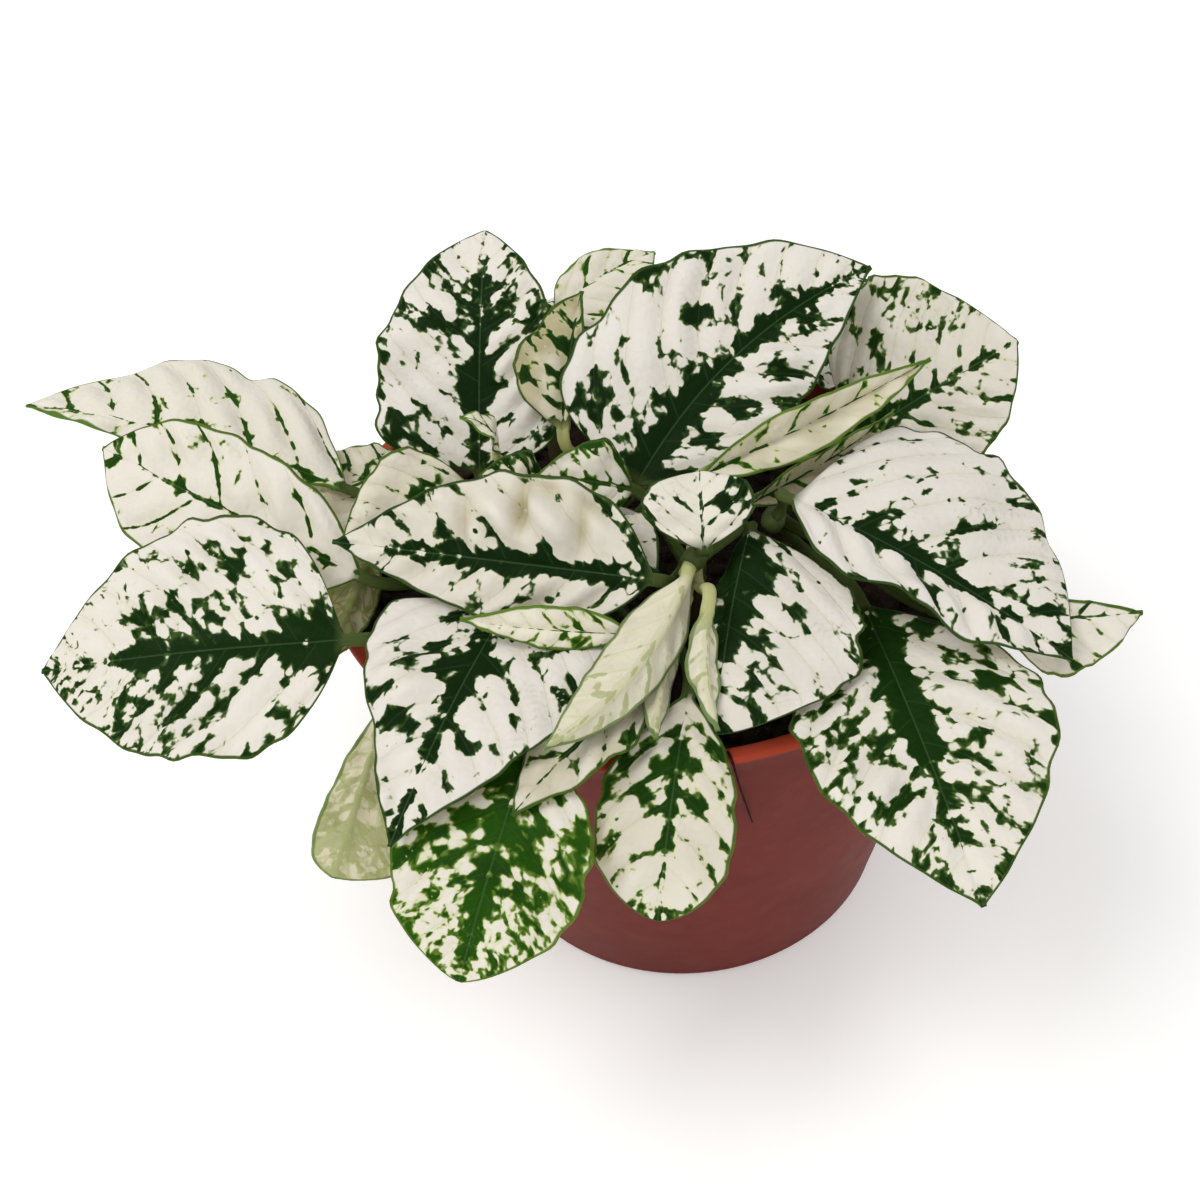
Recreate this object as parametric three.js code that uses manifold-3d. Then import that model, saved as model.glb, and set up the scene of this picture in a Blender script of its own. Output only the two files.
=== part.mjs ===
// A polka dot plant in a thin-walled nursery pot, in millimetres, +Z up.
// The origin is the centre of the pot's flat underside, and the plant leans towards -Y, its front.

import * as THREE from 'three';
import { mergeVertices } from 'three/addons/utils/BufferGeometryUtils.js';
import Module from 'manifold-3d';

const wasm = await Module();
wasm.setup();

// Pot
const POT_HEIGHT = 85;
const POT_RIM_RADIUS = 60;
const POT_FOOT_RADIUS = 40;
const POT_WALL = 1.3;
const POT_FLOOR = 1.6;
const FOOT_ROUND = 2.4;
const FOOT_ARC_STEPS = 3;
const LIP_WIDTH = 2.8;
const LIP_DEPTH = 1.6;
const LIP_OVERHANG = 0.7;
const LIP_ROUND = 0.5;
const POT_SIDES = 48;
const DRAIN_HOLES = 6;
const DRAIN_RADIUS = 3.6;
const DRAIN_RING = 25;
const DRAIN_SIDES = 12;

// Soil
const GAP = 0.3;
const SOIL_EDGE_HEIGHT = 75;
const SOIL_CROWN = 2.5;
const SOIL_RELIEF = 0.7;
const SOIL_RINGS = 6;
const SOIL_SIDES = 36;

// Stems
const STEM_FOOT_RADIUS = 2.4;
const STEM_TOP_RADIUS = 1.5;
const STEM_SIDES = 8;
const STEM_STEPS = 6;
const STEM_SUNK = 14;
const STEM_START = SOIL_EDGE_HEIGHT - STEM_SUNK;
const STEM_BEND_HEIGHT = SOIL_EDGE_HEIGHT + SOIL_CROWN + 1.5;
const STEM_BEND_SHARE = 0.55;
const HOLE_SIDES = 12;
const HOLE_RADIUS = (STEM_FOOT_RADIUS + GAP) / Math.cos(Math.PI / HOLE_SIDES);

// Petioles
const PETIOLE_GAP = 0.45;
const PETIOLE_HALF_WIDTH = 1.1;
const PETIOLE_HALF_HEIGHT = 0.95;
const PETIOLE_EDGE = 0.4;
const PETIOLE_STEPS = 3;
const PETIOLE_REACH = 0.38;
const PETIOLE_LEAN = 0.4;

// Leaf blades
const BLADE_HALF_THICKNESS = 0.36;
const RIB_DEPTH = 0.5;
const RIB_TAPER = 0.8;
const TIP_HALF_WIDTH = 0.4;
const LONG_LEAF = 26;
const LONG_STEPS = 8;
const SHORT_STEPS = 6;
const LONG_COLUMNS = [-1, -0.66, -0.33, 0, 0.33, 0.66, 1];
const SHORT_COLUMNS = [-1, -0.5, 0, 0.5, 1];
const SECTION_STEPS = 10;
const CURL_FROM = 0.5;
const SIDE_PHASE = 1.3;
const DEFAULTS = {
  roll: 0, twist: 0, fold: 8, cup: -10, arch: 2, bend: 0, peak: 0.4, blunt: 1.7, round: 2.2,
  soften: 1, wave: 0.8, waves: 2.5, phase: 0, curl: [0, 0], curled: [0, 1],
};

const POT_COLOUR = '#7a3c33';
const SOIL_COLOUR = '#1c1713';
const STEM_COLOUR = '#6f7a44';
const LEAF_COLOUR = '#c9d3bd';

// Each stem's foot in the soil and its top.
const STEMS = {
  left: { foot: [-24, -6], top: [-40, -12, 94] },
  front_left: { foot: [-10, -20], top: [-19, -29, 94] },
  back_left: { foot: [-14, 4], top: [-22, -8, 101] },
  centre: { foot: [3, -20], top: [3, -31, 100] },
  back_right: { foot: [2, 6], top: [-7, -11, 98] },
  right: { foot: [20, -6], top: [17, -20, 96] },
  rear_left: { foot: [-16, 24], top: [-22, 32, 97] },
  rear_right: { foot: [18, 24], top: [22, 32, 97] },
};

// Each leaf: the stem that bears it and how far up, its blade's base and tip, and its half widths to
// the left and right of the midrib, seen from the base. Angles are in degrees: roll turns the right
// half down, twist adds roll from base to tip, fold and cup lift both halves, and curl lifts the
// outer part of the left or right half. Arch lifts the midrib, and bend moves it to the right.
// A blade is widest at peak, a share of its length. Round fills out its base, blunt fills out its
// tip, and soften below 1 rounds the tip.
const LEAVES = {
  far_left: {
    stem: 'left', at: 0.7, base: [-54, 4, 96], tip: [-112, 28, 106], half: [4, 23], roll: -5, fold: -4,
    peak: 0.6, round: 3, arch: 3, wave: 2, phase: 2.2,
  },
  left_back: {
    stem: 'left', at: 0.9, base: [-51, -18, 94], tip: [-95, 11, 106], half: [13, 12], roll: -42,
    peak: 0.55, round: 3, blunt: 2.6,
  },
  left_front: {
    stem: 'left', at: 0.6, base: [-53, -33, 94], tip: [-103, -28, 91], half: [18, 22], roll: -28, blunt: 2,
    round: 4, peak: 0.45,
  },
  left_small: {
    stem: 'back_left', at: 0.6, base: [-45, 7, 91], tip: [-64, 18, 91], half: [20, 9], round: 3,
  },
  left_hanging: {
    stem: 'left', at: 1, base: [-49, -10, 94], tip: [-57, -32, 89], half: [7, 5], roll: 150, fold: 30,
  },
  low_left: {
    stem: 'front_left', at: 0.4, base: [-47, -42, 89], tip: [-57, -65, 76], half: [5, 10], roll: 160,
    peak: 0.8, blunt: 2.4, soften: 0.7,
  },
  tall_left: {
    stem: 'back_left', at: 0.8, base: [-30, -2, 100], tip: [-24, 26, 130], half: [18, 14],
    peak: 0.3, round: 4, blunt: 2.6, soften: 0.8,
  },
  cream_left: {
    stem: 'back_left', at: 1, base: [-31, -11, 104], tip: [-53, -15, 100], half: [6, 10], roll: -45,
  },
  bud_left: {
    stem: 'back_left', at: 1, base: [-26, -8, 108], tip: [-31, -8, 116], half: [4, 4],
  },
  curled_left: {
    stem: 'back_left', at: 1, base: [-19, -15, 105], tip: [-29, -16, 110], half: [4, 5], roll: -40,
  },
  speckled: {
    stem: 'centre', at: 0.6, base: [-5, -17, 104], tip: [-20, -18, 110], half: [5, 7], roll: -45,
  },
  narrow_back: {
    stem: 'back_right', at: 0.7, base: [-15, -4, 108], tip: [-9, 14, 123], half: [9, 3], fold: 20,
  },
  tall_right: {
    stem: 'back_right', at: 1, base: [-4, -14, 103], tip: [39, 10, 123], half: [21, 15], roll: 30,
    fold: 14, peak: 0.34, round: 6, blunt: 2, bend: -4,
  },
  far_back: {
    stem: 'right', at: 0.5, base: [34, -2, 97], tip: [62, 1, 111], half: [22, 14], roll: 40,
    blunt: 2.6, round: 3,
  },
  folded_upper: {
    stem: 'centre', at: 0.8, base: [5, -21, 108], tip: [45, -7, 115], half: [5, 5], roll: 60, fold: 40,
  },
  folded_lower: {
    stem: 'centre', at: 0.6, base: [13, -17, 98], tip: [40, -5, 104], half: [4, 4], roll: 70, fold: 40,
  },
  right_back: {
    stem: 'right', at: 1, base: [19, -27, 106], tip: [56, -53, 90], half: [27, 10], roll: 0, round: 5,
    blunt: 2.4, peak: 0.42,
  },
  right_small: {
    stem: 'right', at: 0.8, base: [49, -41, 88], tip: [70, -44, 89], half: [3, 9], roll: 50,
  },
  right_front: {
    stem: 'right', at: 0.5, base: [28, -38, 92], tip: [34, -87, 80], half: [20, 18], peak: 0.45, blunt: 1.9,
  },
  front_right: {
    stem: 'centre', at: 0.9, base: [12, -29, 103], tip: [2, -58, 89], half: [20, 5], roll: 15, fold: -12,
    round: 3, curl: [0, -30], peak: 0.55, blunt: 2.2, soften: 0.8,
  },
  centre_small: {
    stem: 'centre', at: 1, base: [4, -35, 105], tip: [5, -26, 113], half: [9, 8], peak: 0.55, blunt: 3,
  },
  centre_big: {
    stem: 'centre', at: 0.7, base: [-4, -37, 102], tip: [-54, -18, 102], half: [9, 14], roll: -45,
    round: 4, blunt: 1.4, peak: 0.45,
  },
  centre_fold: {
    stem: 'back_right', at: 0.5, base: [-12, -16, 99], tip: [-3, -32, 99], half: [6, 5],
  },
  young_left: {
    stem: 'centre', at: 1, base: [1, -38, 103], tip: [-23, -62, 95], half: [7, 5], roll: 150,
    fold: 40, arch: -2, bend: 3, round: 3, blunt: 2.4,
  },
  young_middle: {
    stem: 'centre', at: 0.55, base: [-1, -42, 98], tip: [-7, -61, 93], half: [4, 4], roll: 150, fold: 50,
  },
  young_right: {
    stem: 'centre', at: 0.9, base: [3, -46, 103], tip: [2, -60, 92], half: [3, 3], roll: 150, fold: 20,
  },
  rolled_strip: {
    stem: 'centre', at: 0.4, base: [-8, -44, 98], tip: [-34, -37, 99], half: [3, 4], roll: -60,
  },
  front_left: {
    stem: 'front_left', at: 1, base: [-27, -31, 95], tip: [-47, -67, 84], half: [23, 19], peak: 0.25,
    round: 4, blunt: 1.2,
  },
  green_front: {
    stem: 'front_left', at: 0.6, base: [-25, -53, 88], tip: [-39, -83, 72], half: [15, 16], arch: 1,
    blunt: 2.4, peak: 0.5, soften: 0.75,
  },
  small_front: {
    stem: 'front_left', at: 0.4, base: [-1, -50, 90], tip: [-10, -77, 72], half: [10, 11], peak: 0.6,
    blunt: 2.5, soften: 0.65,
  },
  grey_front: {
    stem: 'front_left', at: 0.8, base: [-7, -49, 91], tip: [-29, -65, 85], half: [7, 8],
  },
  rear_far_left: {
    stem: 'left', at: 0.4, base: [-58, 18, 87], tip: [-84, 42, 78], half: [12, 9], peak: 0.45,
  },
  rear_left: {
    stem: 'rear_left', at: 1, base: [-21, 46, 97], tip: [-24, 86, 78], half: [14, 14],
  },
  rear_middle: {
    stem: 'rear_left', at: 0.7, base: [2, 44, 93], tip: [6, 82, 78], half: [13, 13], arch: 4,
  },
  rear_right: {
    stem: 'rear_right', at: 1, base: [25, 44, 97], tip: [30, 84, 79], half: [14, 14],
  },
  rear_far_right: {
    stem: 'rear_right', at: 0.6, base: [38, 26, 94], tip: [66, 36, 84], half: [13, 12],
  },
  rear_upper: {
    stem: 'rear_left', at: 1, base: [-14, 36, 107], tip: [6, 44, 112], half: [6, 12], roll: 20, round: 3,
  },
  rear_inner: {
    stem: 'rear_right', at: 0.4, base: [12, 26, 100], tip: [-12, 14, 103], half: [12, 12],
  },
  rear_inner_right: {
    stem: 'rear_right', at: 0.8, base: [30, 20, 99], tip: [50, 10, 99], half: [10, 10],
  },
  rear_centre: {
    stem: 'rear_left', at: 0.8, base: [-6, 36, 101], tip: [-6, 60, 95], half: [10, 10],
  },
  rear_corner: {
    stem: 'rear_right', at: 0.9, base: [34, 40, 100], tip: [54, 60, 89], half: [10, 10],
  },
  rear_upper_right: {
    stem: 'rear_right', at: 1, base: [24, 26, 102], tip: [28, 44, 105], half: [10, 10],
  },
};

const DEGREE = Math.PI / 180;
const UP = new THREE.Vector3(0, 0, 1);

function vector([x, y, z]) {
  return new THREE.Vector3(x, y, z);
}

// Joins equal rings of points into one closed body. A ring runs clockwise, seen along the body, and
// its second half lies under its first, so both faces of a blade are split alike.
function loft(rings) {
  const count = rings[0].length;
  const positions = rings.flat().flatMap((point) => point.toArray());
  const faces = [];
  for (let ring = 0; ring + 1 < rings.length; ring += 1) {
    for (let i = 0; i < count; i += 1) {
      const a = ring * count + i;
      const b = ring * count + ((i + 1) % count);
      const c = b + count;
      const d = a + count;
      if (i < count / 2) {
        faces.push(a, b, c, a, c, d);
      } else {
        faces.push(a, b, d, b, c, d);
      }
    }
  }
  const last = (rings.length - 1) * count;
  for (let i = 0; i + 1 < count / 2; i += 1) {
    const opposite = count - 1 - i;
    faces.push(opposite, opposite - 1, i + 1, opposite, i + 1, i);
    faces.push(last + opposite, last + i + 1, last + opposite - 1, last + opposite, last + i, last + i + 1);
  }
  const geometry = new THREE.BufferGeometry();
  geometry.setAttribute('position', new THREE.Float32BufferAttribute(positions, 3));
  geometry.setIndex(faces);
  return geometry;
}

function material(colour, roughness) {
  return new THREE.MeshStandardMaterial({ color: colour, roughness, metalness: 0 });
}

function named(name, geometry, colour, roughness) {
  const mesh = new THREE.Mesh(geometry, material(colour, roughness));
  mesh.name = name;
  return mesh;
}

function toSolid(geometry) {
  const bare = geometry.clone();
  bare.deleteAttribute('normal');
  bare.deleteAttribute('uv');
  const merged = mergeVertices(bare, 1e-4);
  return new wasm.Manifold(new wasm.Mesh({
    numProp: 3,
    vertProperties: new Float32Array(merged.attributes.position.array),
    triVerts: new Uint32Array(merged.index.array),
  }));
}

function toGeometry(solid) {
  const mesh = solid.getMesh();
  const geometry = new THREE.BufferGeometry();
  geometry.setAttribute('position', new THREE.Float32BufferAttribute(mesh.vertProperties, 3));
  geometry.setIndex(new THREE.Uint32BufferAttribute(mesh.triVerts, 1));
  return geometry;
}

// A body of revolution about the Z axis, from points of radius and height.
function turnedBody(profile, sides) {
  const points = profile.map(([radius, height]) => new THREE.Vector2(radius, height));
  const geometry = new THREE.LatheGeometry(points, sides);
  geometry.rotateX(Math.PI / 2);
  return geometry;
}

function upright(radius, low, high, sides, x, y) {
  const geometry = new THREE.CylinderGeometry(radius, radius, high - low, sides);
  geometry.rotateX(Math.PI / 2);
  geometry.translate(x, y, (low + high) / 2);
  return geometry;
}

// Pot
const WALL_TOP = POT_HEIGHT - LIP_DEPTH;
const WALL_TOP_RADIUS = POT_RIM_RADIUS - LIP_OVERHANG;

function potOuterRadius(height) {
  return POT_FOOT_RADIUS + ((WALL_TOP_RADIUS - POT_FOOT_RADIUS) * height) / WALL_TOP;
}

function potInnerRadius(height) {
  return potOuterRadius(height) - POT_WALL;
}

function potProfile() {
  const profile = [[0, 0]];
  const shoulder = potOuterRadius(FOOT_ROUND) - FOOT_ROUND;
  for (let i = 0; i <= FOOT_ARC_STEPS; i += 1) {
    const angle = (i / FOOT_ARC_STEPS) * (Math.PI / 2);
    profile.push([shoulder + FOOT_ROUND * Math.sin(angle), FOOT_ROUND * (1 - Math.cos(angle))]);
  }
  profile.push(
    [WALL_TOP_RADIUS, WALL_TOP],
    [POT_RIM_RADIUS, WALL_TOP + LIP_ROUND],
    [POT_RIM_RADIUS, POT_HEIGHT - LIP_ROUND],
    [POT_RIM_RADIUS - LIP_ROUND, POT_HEIGHT],
    [POT_RIM_RADIUS - LIP_WIDTH, POT_HEIGHT],
    [potInnerRadius(WALL_TOP), WALL_TOP - LIP_ROUND],
    [potInnerRadius(POT_FLOOR + FOOT_ROUND), POT_FLOOR + FOOT_ROUND],
    [potInnerRadius(POT_FLOOR) - FOOT_ROUND / 2, POT_FLOOR],
    [0, POT_FLOOR],
  );
  return profile;
}

function makePot() {
  let pot = toSolid(turnedBody(potProfile(), POT_SIDES));
  for (let i = 0; i < DRAIN_HOLES; i += 1) {
    const angle = ((i + 0.5) / DRAIN_HOLES) * 2 * Math.PI;
    const x = DRAIN_RING * Math.cos(angle);
    const y = DRAIN_RING * Math.sin(angle);
    pot = pot.subtract(toSolid(upright(DRAIN_RADIUS, -1, POT_FLOOR + 1, DRAIN_SIDES, x, y)));
  }
  return named('pot', toGeometry(pot), POT_COLOUR, 0.55);
}

// Soil, with clods as relief and a plain hole for each stem
function clods(x, y) {
  const broad = Math.sin(0.31 * x + 1.7) * Math.cos(0.27 * y - 0.6);
  const fine = 0.6 * Math.sin(0.7 * x - 0.6 * y);
  return SOIL_RELIEF * (broad + fine);
}

function makeSoil() {
  const low = POT_FLOOR + GAP;
  const corner = POT_FLOOR + FOOT_ROUND + GAP;
  const edge = potInnerRadius(SOIL_EDGE_HEIGHT) - GAP;
  const profile = [
    [0, low],
    [potInnerRadius(POT_FLOOR) - FOOT_ROUND / 2 - 2 * GAP, low],
    [potInnerRadius(corner) - GAP, corner],
    [edge, SOIL_EDGE_HEIGHT - 1],
  ];
  for (let i = SOIL_RINGS; i >= 0; i -= 1) {
    const share = i / SOIL_RINGS;
    profile.push([(edge - 1) * share, SOIL_EDGE_HEIGHT + SOIL_CROWN * (1 - share * share)]);
  }
  const body = turnedBody(profile, SOIL_SIDES);
  const place = body.attributes.position;
  for (let i = 0; i < place.count; i += 1) {
    if (place.getZ(i) >= SOIL_EDGE_HEIGHT - 0.01) {
      place.setZ(i, place.getZ(i) + clods(place.getX(i), place.getY(i)));
    }
  }
  let soil = toSolid(body);
  const high = SOIL_EDGE_HEIGHT + 4 * SOIL_CROWN;
  for (const { foot } of Object.values(STEMS)) {
    const hole = upright(HOLE_RADIUS, STEM_START - GAP, high, HOLE_SIDES, foot[0], foot[1]);
    soil = soil.subtract(toSolid(hole));
  }
  return named('soil', toGeometry(soil), SOIL_COLOUR, 0.95);
}

// A stem's axis, its direction and its radius: straight up out of the soil, then a curve to its top
function stemAt(stem, share) {
  const [x, y] = stem.foot;
  const start = new THREE.Vector3(x, y, STEM_BEND_HEIGHT);
  const top = vector(stem.top);
  const bend = new THREE.Vector3(x, y, STEM_BEND_HEIGHT + STEM_BEND_SHARE * (top.z - STEM_BEND_HEIGHT));
  const curve = new THREE.QuadraticBezierCurve3(start, bend, top);
  return {
    point: curve.getPoint(share),
    along: curve.getTangent(share),
    radius: THREE.MathUtils.lerp(STEM_FOOT_RADIUS, STEM_TOP_RADIUS, share),
  };
}

function stemRing({ point, along, radius }) {
  const side = new THREE.Vector3(1, 0, 0);
  side.addScaledVector(along, -side.dot(along)).normalize();
  const normal = side.clone().cross(along);
  const ring = [];
  for (let i = 0; i < STEM_SIDES; i += 1) {
    const angle = Math.PI - (2 * Math.PI * i) / STEM_SIDES;
    const spot = point.clone();
    spot.addScaledVector(side, radius * Math.cos(angle));
    spot.addScaledVector(normal, radius * Math.sin(angle));
    ring.push(spot);
  }
  return ring;
}

function makeStem(name, stem) {
  const foot = new THREE.Vector3(stem.foot[0], stem.foot[1], STEM_START);
  const rings = [stemRing({ point: foot, along: UP, radius: STEM_FOOT_RADIUS })];
  for (let i = 0; i <= STEM_STEPS; i += 1) {
    rings.push(stemRing(stemAt(stem, i / STEM_STEPS)));
  }
  return named(`stem_${name}`, loft(rings), STEM_COLOUR, 0.6);
}

// Leaf
function turnAbout(side, normal, degrees) {
  const cos = Math.cos(degrees * DEGREE);
  const sin = Math.sin(degrees * DEGREE);
  return {
    side: side.clone().multiplyScalar(cos).addScaledVector(normal, -sin),
    normal: normal.clone().multiplyScalar(cos).addScaledVector(side, sin),
  };
}

// The midrib at a share of the blade's length, with the directions across and out of the blade
function midribAt(leaf, share) {
  const base = vector(leaf.base);
  const chord = vector(leaf.tip).sub(base);
  const side = chord.clone().cross(UP).normalize();
  const normal = side.clone().cross(chord).normalize();
  const middle = turnAbout(side, normal, leaf.roll);
  const bow = middle.normal.clone().multiplyScalar(leaf.arch).addScaledVector(middle.side, leaf.bend);
  const point = base.addScaledVector(chord, share).addScaledVector(bow, 4 * share * (1 - share));
  const along = chord.addScaledVector(bow, 4 * (1 - 2 * share)).normalize();
  const frame = turnAbout(side, normal, leaf.roll + leaf.twist * (share - 0.5));
  const across = frame.side.addScaledVector(along, -frame.side.dot(along)).normalize();
  return { point, along, across, out: across.clone().cross(along) };
}

function halfWidth(leaf, share, half) {
  const full = share < leaf.peak
    ? 1 - (1 - share / leaf.peak) ** leaf.round
    : Math.max(0, 1 - ((share - leaf.peak) / (1 - leaf.peak)) ** leaf.blunt) ** leaf.soften;
  return Math.max(half * full, THREE.MathUtils.lerp(PETIOLE_HALF_WIDTH, TIP_HALF_WIDTH, share));
}

// How strongly the curl acts at a share of the length
function curlShare(leaf, share) {
  const [from, to] = leaf.curled;
  const inside = THREE.MathUtils.clamp((share - from) / (to - from), 0, 1);
  return Math.sin(Math.PI * inside);
}

// A point of the blade's cross-section: how far across and out it lies, and the slope there.
// Column runs from -1, the left margin, to 1, the right margin.
function sectionAt(leaf, share, column) {
  const right = column > 0 ? 1 : 0;
  const reach = Math.abs(column);
  const width = halfWidth(leaf, share, leaf.half[right]);
  const curl = leaf.curl[right] * curlShare(leaf, share);
  let across = 0;
  let out = 0;
  let slope = leaf.fold;
  const steps = Math.max(1, Math.round(reach * SECTION_STEPS));
  for (let i = 0; i < steps; i += 1) {
    const there = (reach * (i + 0.5)) / steps;
    slope = leaf.fold + leaf.cup * there + curl * Math.max(0, (there - CURL_FROM) / (1 - CURL_FROM));
    across += (width * reach * Math.cos(slope * DEGREE)) / steps;
    out += (width * reach * Math.sin(slope * DEGREE)) / steps;
  }
  const ripple = Math.sin(2 * Math.PI * leaf.waves * share + leaf.phase + SIDE_PHASE * right);
  out += leaf.wave * reach * reach * ripple * Math.sin(Math.PI * share);
  return { across: across * Math.sign(column), out, slope: slope * Math.sign(column) * DEGREE };
}

function bladeRing(leaf, share, columns) {
  const { point, across, out } = midribAt(leaf, share);
  const top = [];
  const under = [];
  for (const column of columns) {
    const section = sectionAt(leaf, share, column);
    const spot = point.clone().addScaledVector(across, section.across).addScaledVector(out, section.out);
    const face = out.clone().multiplyScalar(Math.cos(section.slope));
    face.addScaledVector(across, -Math.sin(section.slope));
    const depth = BLADE_HALF_THICKNESS + (column === 0 ? RIB_DEPTH * (1 - RIB_TAPER * share) : 0);
    top.push(spot.clone().addScaledVector(face, BLADE_HALF_THICKNESS));
    under.unshift(spot.clone().addScaledVector(face, -depth));
  }
  return [...top, ...under];
}

// The petiole leaves its stem at a steep angle and runs into the midrib in one curve.
function petioleCurve(leaf) {
  const node = stemAt(STEMS[leaf.stem], leaf.at);
  const base = midribAt(leaf, 0);
  const away = base.point.clone().sub(node.point);
  away.addScaledVector(node.along, -away.dot(node.along)).normalize();
  const start = node.point.clone().addScaledVector(away, node.radius + PETIOLE_GAP);
  const reach = PETIOLE_REACH * start.distanceTo(base.point);
  return new THREE.CubicBezierCurve3(
    start,
    start.clone().addScaledVector(away.addScaledVector(node.along, PETIOLE_LEAN).normalize(), reach),
    base.point.clone().addScaledVector(base.along, -reach),
    base.point,
  );
}

function petioleRings(leaf, columns) {
  const curve = petioleCurve(leaf);
  const { across } = midribAt(leaf, 0);
  const rings = [];
  for (let i = 0; i < PETIOLE_STEPS; i += 1) {
    const point = curve.getPoint(i / PETIOLE_STEPS);
    const along = curve.getTangent(i / PETIOLE_STEPS);
    const side = across.clone().addScaledVector(along, -across.dot(along)).normalize();
    const out = side.clone().cross(along);
    const top = [];
    const under = [];
    for (const column of columns) {
      const height = PETIOLE_EDGE + (PETIOLE_HALF_HEIGHT - PETIOLE_EDGE) * (1 - column * column);
      const spot = point.clone().addScaledVector(side, column * PETIOLE_HALF_WIDTH);
      top.push(spot.clone().addScaledVector(out, height));
      under.unshift(spot.clone().addScaledVector(out, -height));
    }
    rings.push([...top, ...under]);
  }
  return rings;
}

function makeLeaf(name, values) {
  const leaf = { ...DEFAULTS, ...values };
  const long = vector(leaf.tip).distanceTo(vector(leaf.base)) > LONG_LEAF;
  const columns = long ? LONG_COLUMNS : SHORT_COLUMNS;
  const steps = long ? LONG_STEPS : SHORT_STEPS;
  const rings = petioleRings(leaf, columns);
  for (let i = 0; i <= steps; i += 1) {
    rings.push(bladeRing(leaf, i / steps, columns));
  }
  return named(`leaf_${name}`, loft(rings), LEAF_COLOUR, 0.5);
}

const plant = new THREE.Group();
plant.add(makePot());
plant.add(makeSoil());
for (const [name, stem] of Object.entries(STEMS)) {
  plant.add(makeStem(name, stem));
}
for (const [name, leaf] of Object.entries(LEAVES)) {
  plant.add(makeLeaf(name, leaf));
}

export default plant;
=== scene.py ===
import math
import random
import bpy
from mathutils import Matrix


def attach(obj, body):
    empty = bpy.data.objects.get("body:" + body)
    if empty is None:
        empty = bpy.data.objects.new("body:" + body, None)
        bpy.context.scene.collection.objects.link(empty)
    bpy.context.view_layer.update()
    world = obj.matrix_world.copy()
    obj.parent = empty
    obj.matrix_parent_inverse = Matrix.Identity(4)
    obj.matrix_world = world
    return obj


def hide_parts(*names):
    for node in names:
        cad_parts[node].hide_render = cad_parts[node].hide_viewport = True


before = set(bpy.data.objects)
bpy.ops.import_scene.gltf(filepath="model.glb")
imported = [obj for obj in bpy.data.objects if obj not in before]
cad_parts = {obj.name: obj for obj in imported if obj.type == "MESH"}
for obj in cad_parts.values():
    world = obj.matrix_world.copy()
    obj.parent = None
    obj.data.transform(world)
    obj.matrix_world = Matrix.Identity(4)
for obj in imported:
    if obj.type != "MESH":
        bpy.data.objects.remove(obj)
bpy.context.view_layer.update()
from types import SimpleNamespace

import bpy
import numpy as np
from mathutils import Matrix, Vector, noise

# A polka dot plant in a nursery pot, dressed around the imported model. The tables and formulas of the
# solids are repeated here in millimetres, and every mesh is made in metres.

MM = 0.001

# Camera and light. The camera looks from the front, rolled a little, past the middle of the foot.

CAMERA_ELEVATION = 42.0
CAMERA_ROLL = -7.2
CAMERA_DISTANCE = 314
CAMERA_ACROSS = -18.5
CAMERA_UP = 47.1
LENS = 43.32
SENSOR = 36.0
# What the camera sees from and to, in metres
NEAREST = 0.01
FURTHEST = 20

SKY_COLOUR = (1.0, 0.995, 0.985, 1)
SKY_STRENGTH = 0.62
# Where each lamp stands and what it points at, in metres, its width, its power and its colour
LAMPS = {
    "key": ((-0.5, -0.25, 1.1), (0, 0, 0.08), 0.6, 6.0, (1.0, 0.99, 0.97)),
    "fill": ((0.7, -0.7, 0.7), (0, 0, 0.06), 0.8, 1.4, (0.98, 0.99, 1.0)),
}


def make_camera():
    tilt = math.radians(CAMERA_ELEVATION)
    roll = math.radians(CAMERA_ROLL)
    back = Vector((0, -math.cos(tilt), math.sin(tilt)))
    level = Vector((1, 0, 0))
    rise = back.cross(level)
    right = math.cos(roll) * level + math.sin(roll) * rise
    up = math.cos(roll) * rise - math.sin(roll) * level
    place = CAMERA_ACROSS * right + CAMERA_UP * up + CAMERA_DISTANCE * back
    data = bpy.data.cameras.new("camera")
    data.lens = LENS
    data.sensor_width = SENSOR
    data.clip_start = NEAREST
    data.clip_end = FURTHEST
    camera = bpy.data.objects.new("camera", data)
    bpy.context.scene.collection.objects.link(camera)
    turn = Matrix((right, up, back)).transposed().to_4x4()
    camera.matrix_world = Matrix.Translation(place * MM) @ turn
    bpy.context.scene.camera = camera


def make_light():
    world = bpy.data.worlds.new("studio")
    world.use_nodes = True
    sky = world.node_tree.nodes["Background"]
    sky.inputs["Color"].default_value = SKY_COLOUR
    sky.inputs["Strength"].default_value = SKY_STRENGTH
    bpy.context.scene.world = world
    for name, (place, aim, size, power, colour) in LAMPS.items():
        data = bpy.data.lights.new(name, "AREA")
        data.shape = "DISK"
        data.size = size
        data.energy = power
        data.color = colour
        lamp = bpy.data.objects.new(name, data)
        lamp.location = place
        lamp.rotation_mode = "QUATERNION"
        lamp.rotation_quaternion = (Vector(aim) - Vector(place)).to_track_quat("-Z", "Y")
        bpy.context.scene.collection.objects.link(lamp)
    bpy.context.scene.view_settings.view_transform = "Standard"
    bpy.context.scene.view_settings.look = "None"


# Material nodes. A call makes a node in the tree of the sockets that it takes.


def tone(red, green, blue):
    """A colour from its 0 to 255 screen values, by the screen's standard curve."""
    linear = []
    for value in (red, green, blue):
        share = value / 255
        linear.append(share / 12.92 if share <= 0.04045 else ((share + 0.055) / 1.055) ** 2.4)
    return (*linear, 1.0)


def feed(socket, value):
    if isinstance(value, bpy.types.NodeSocket):
        socket.id_data.links.new(value, socket)
    else:
        socket.default_value = value


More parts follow.
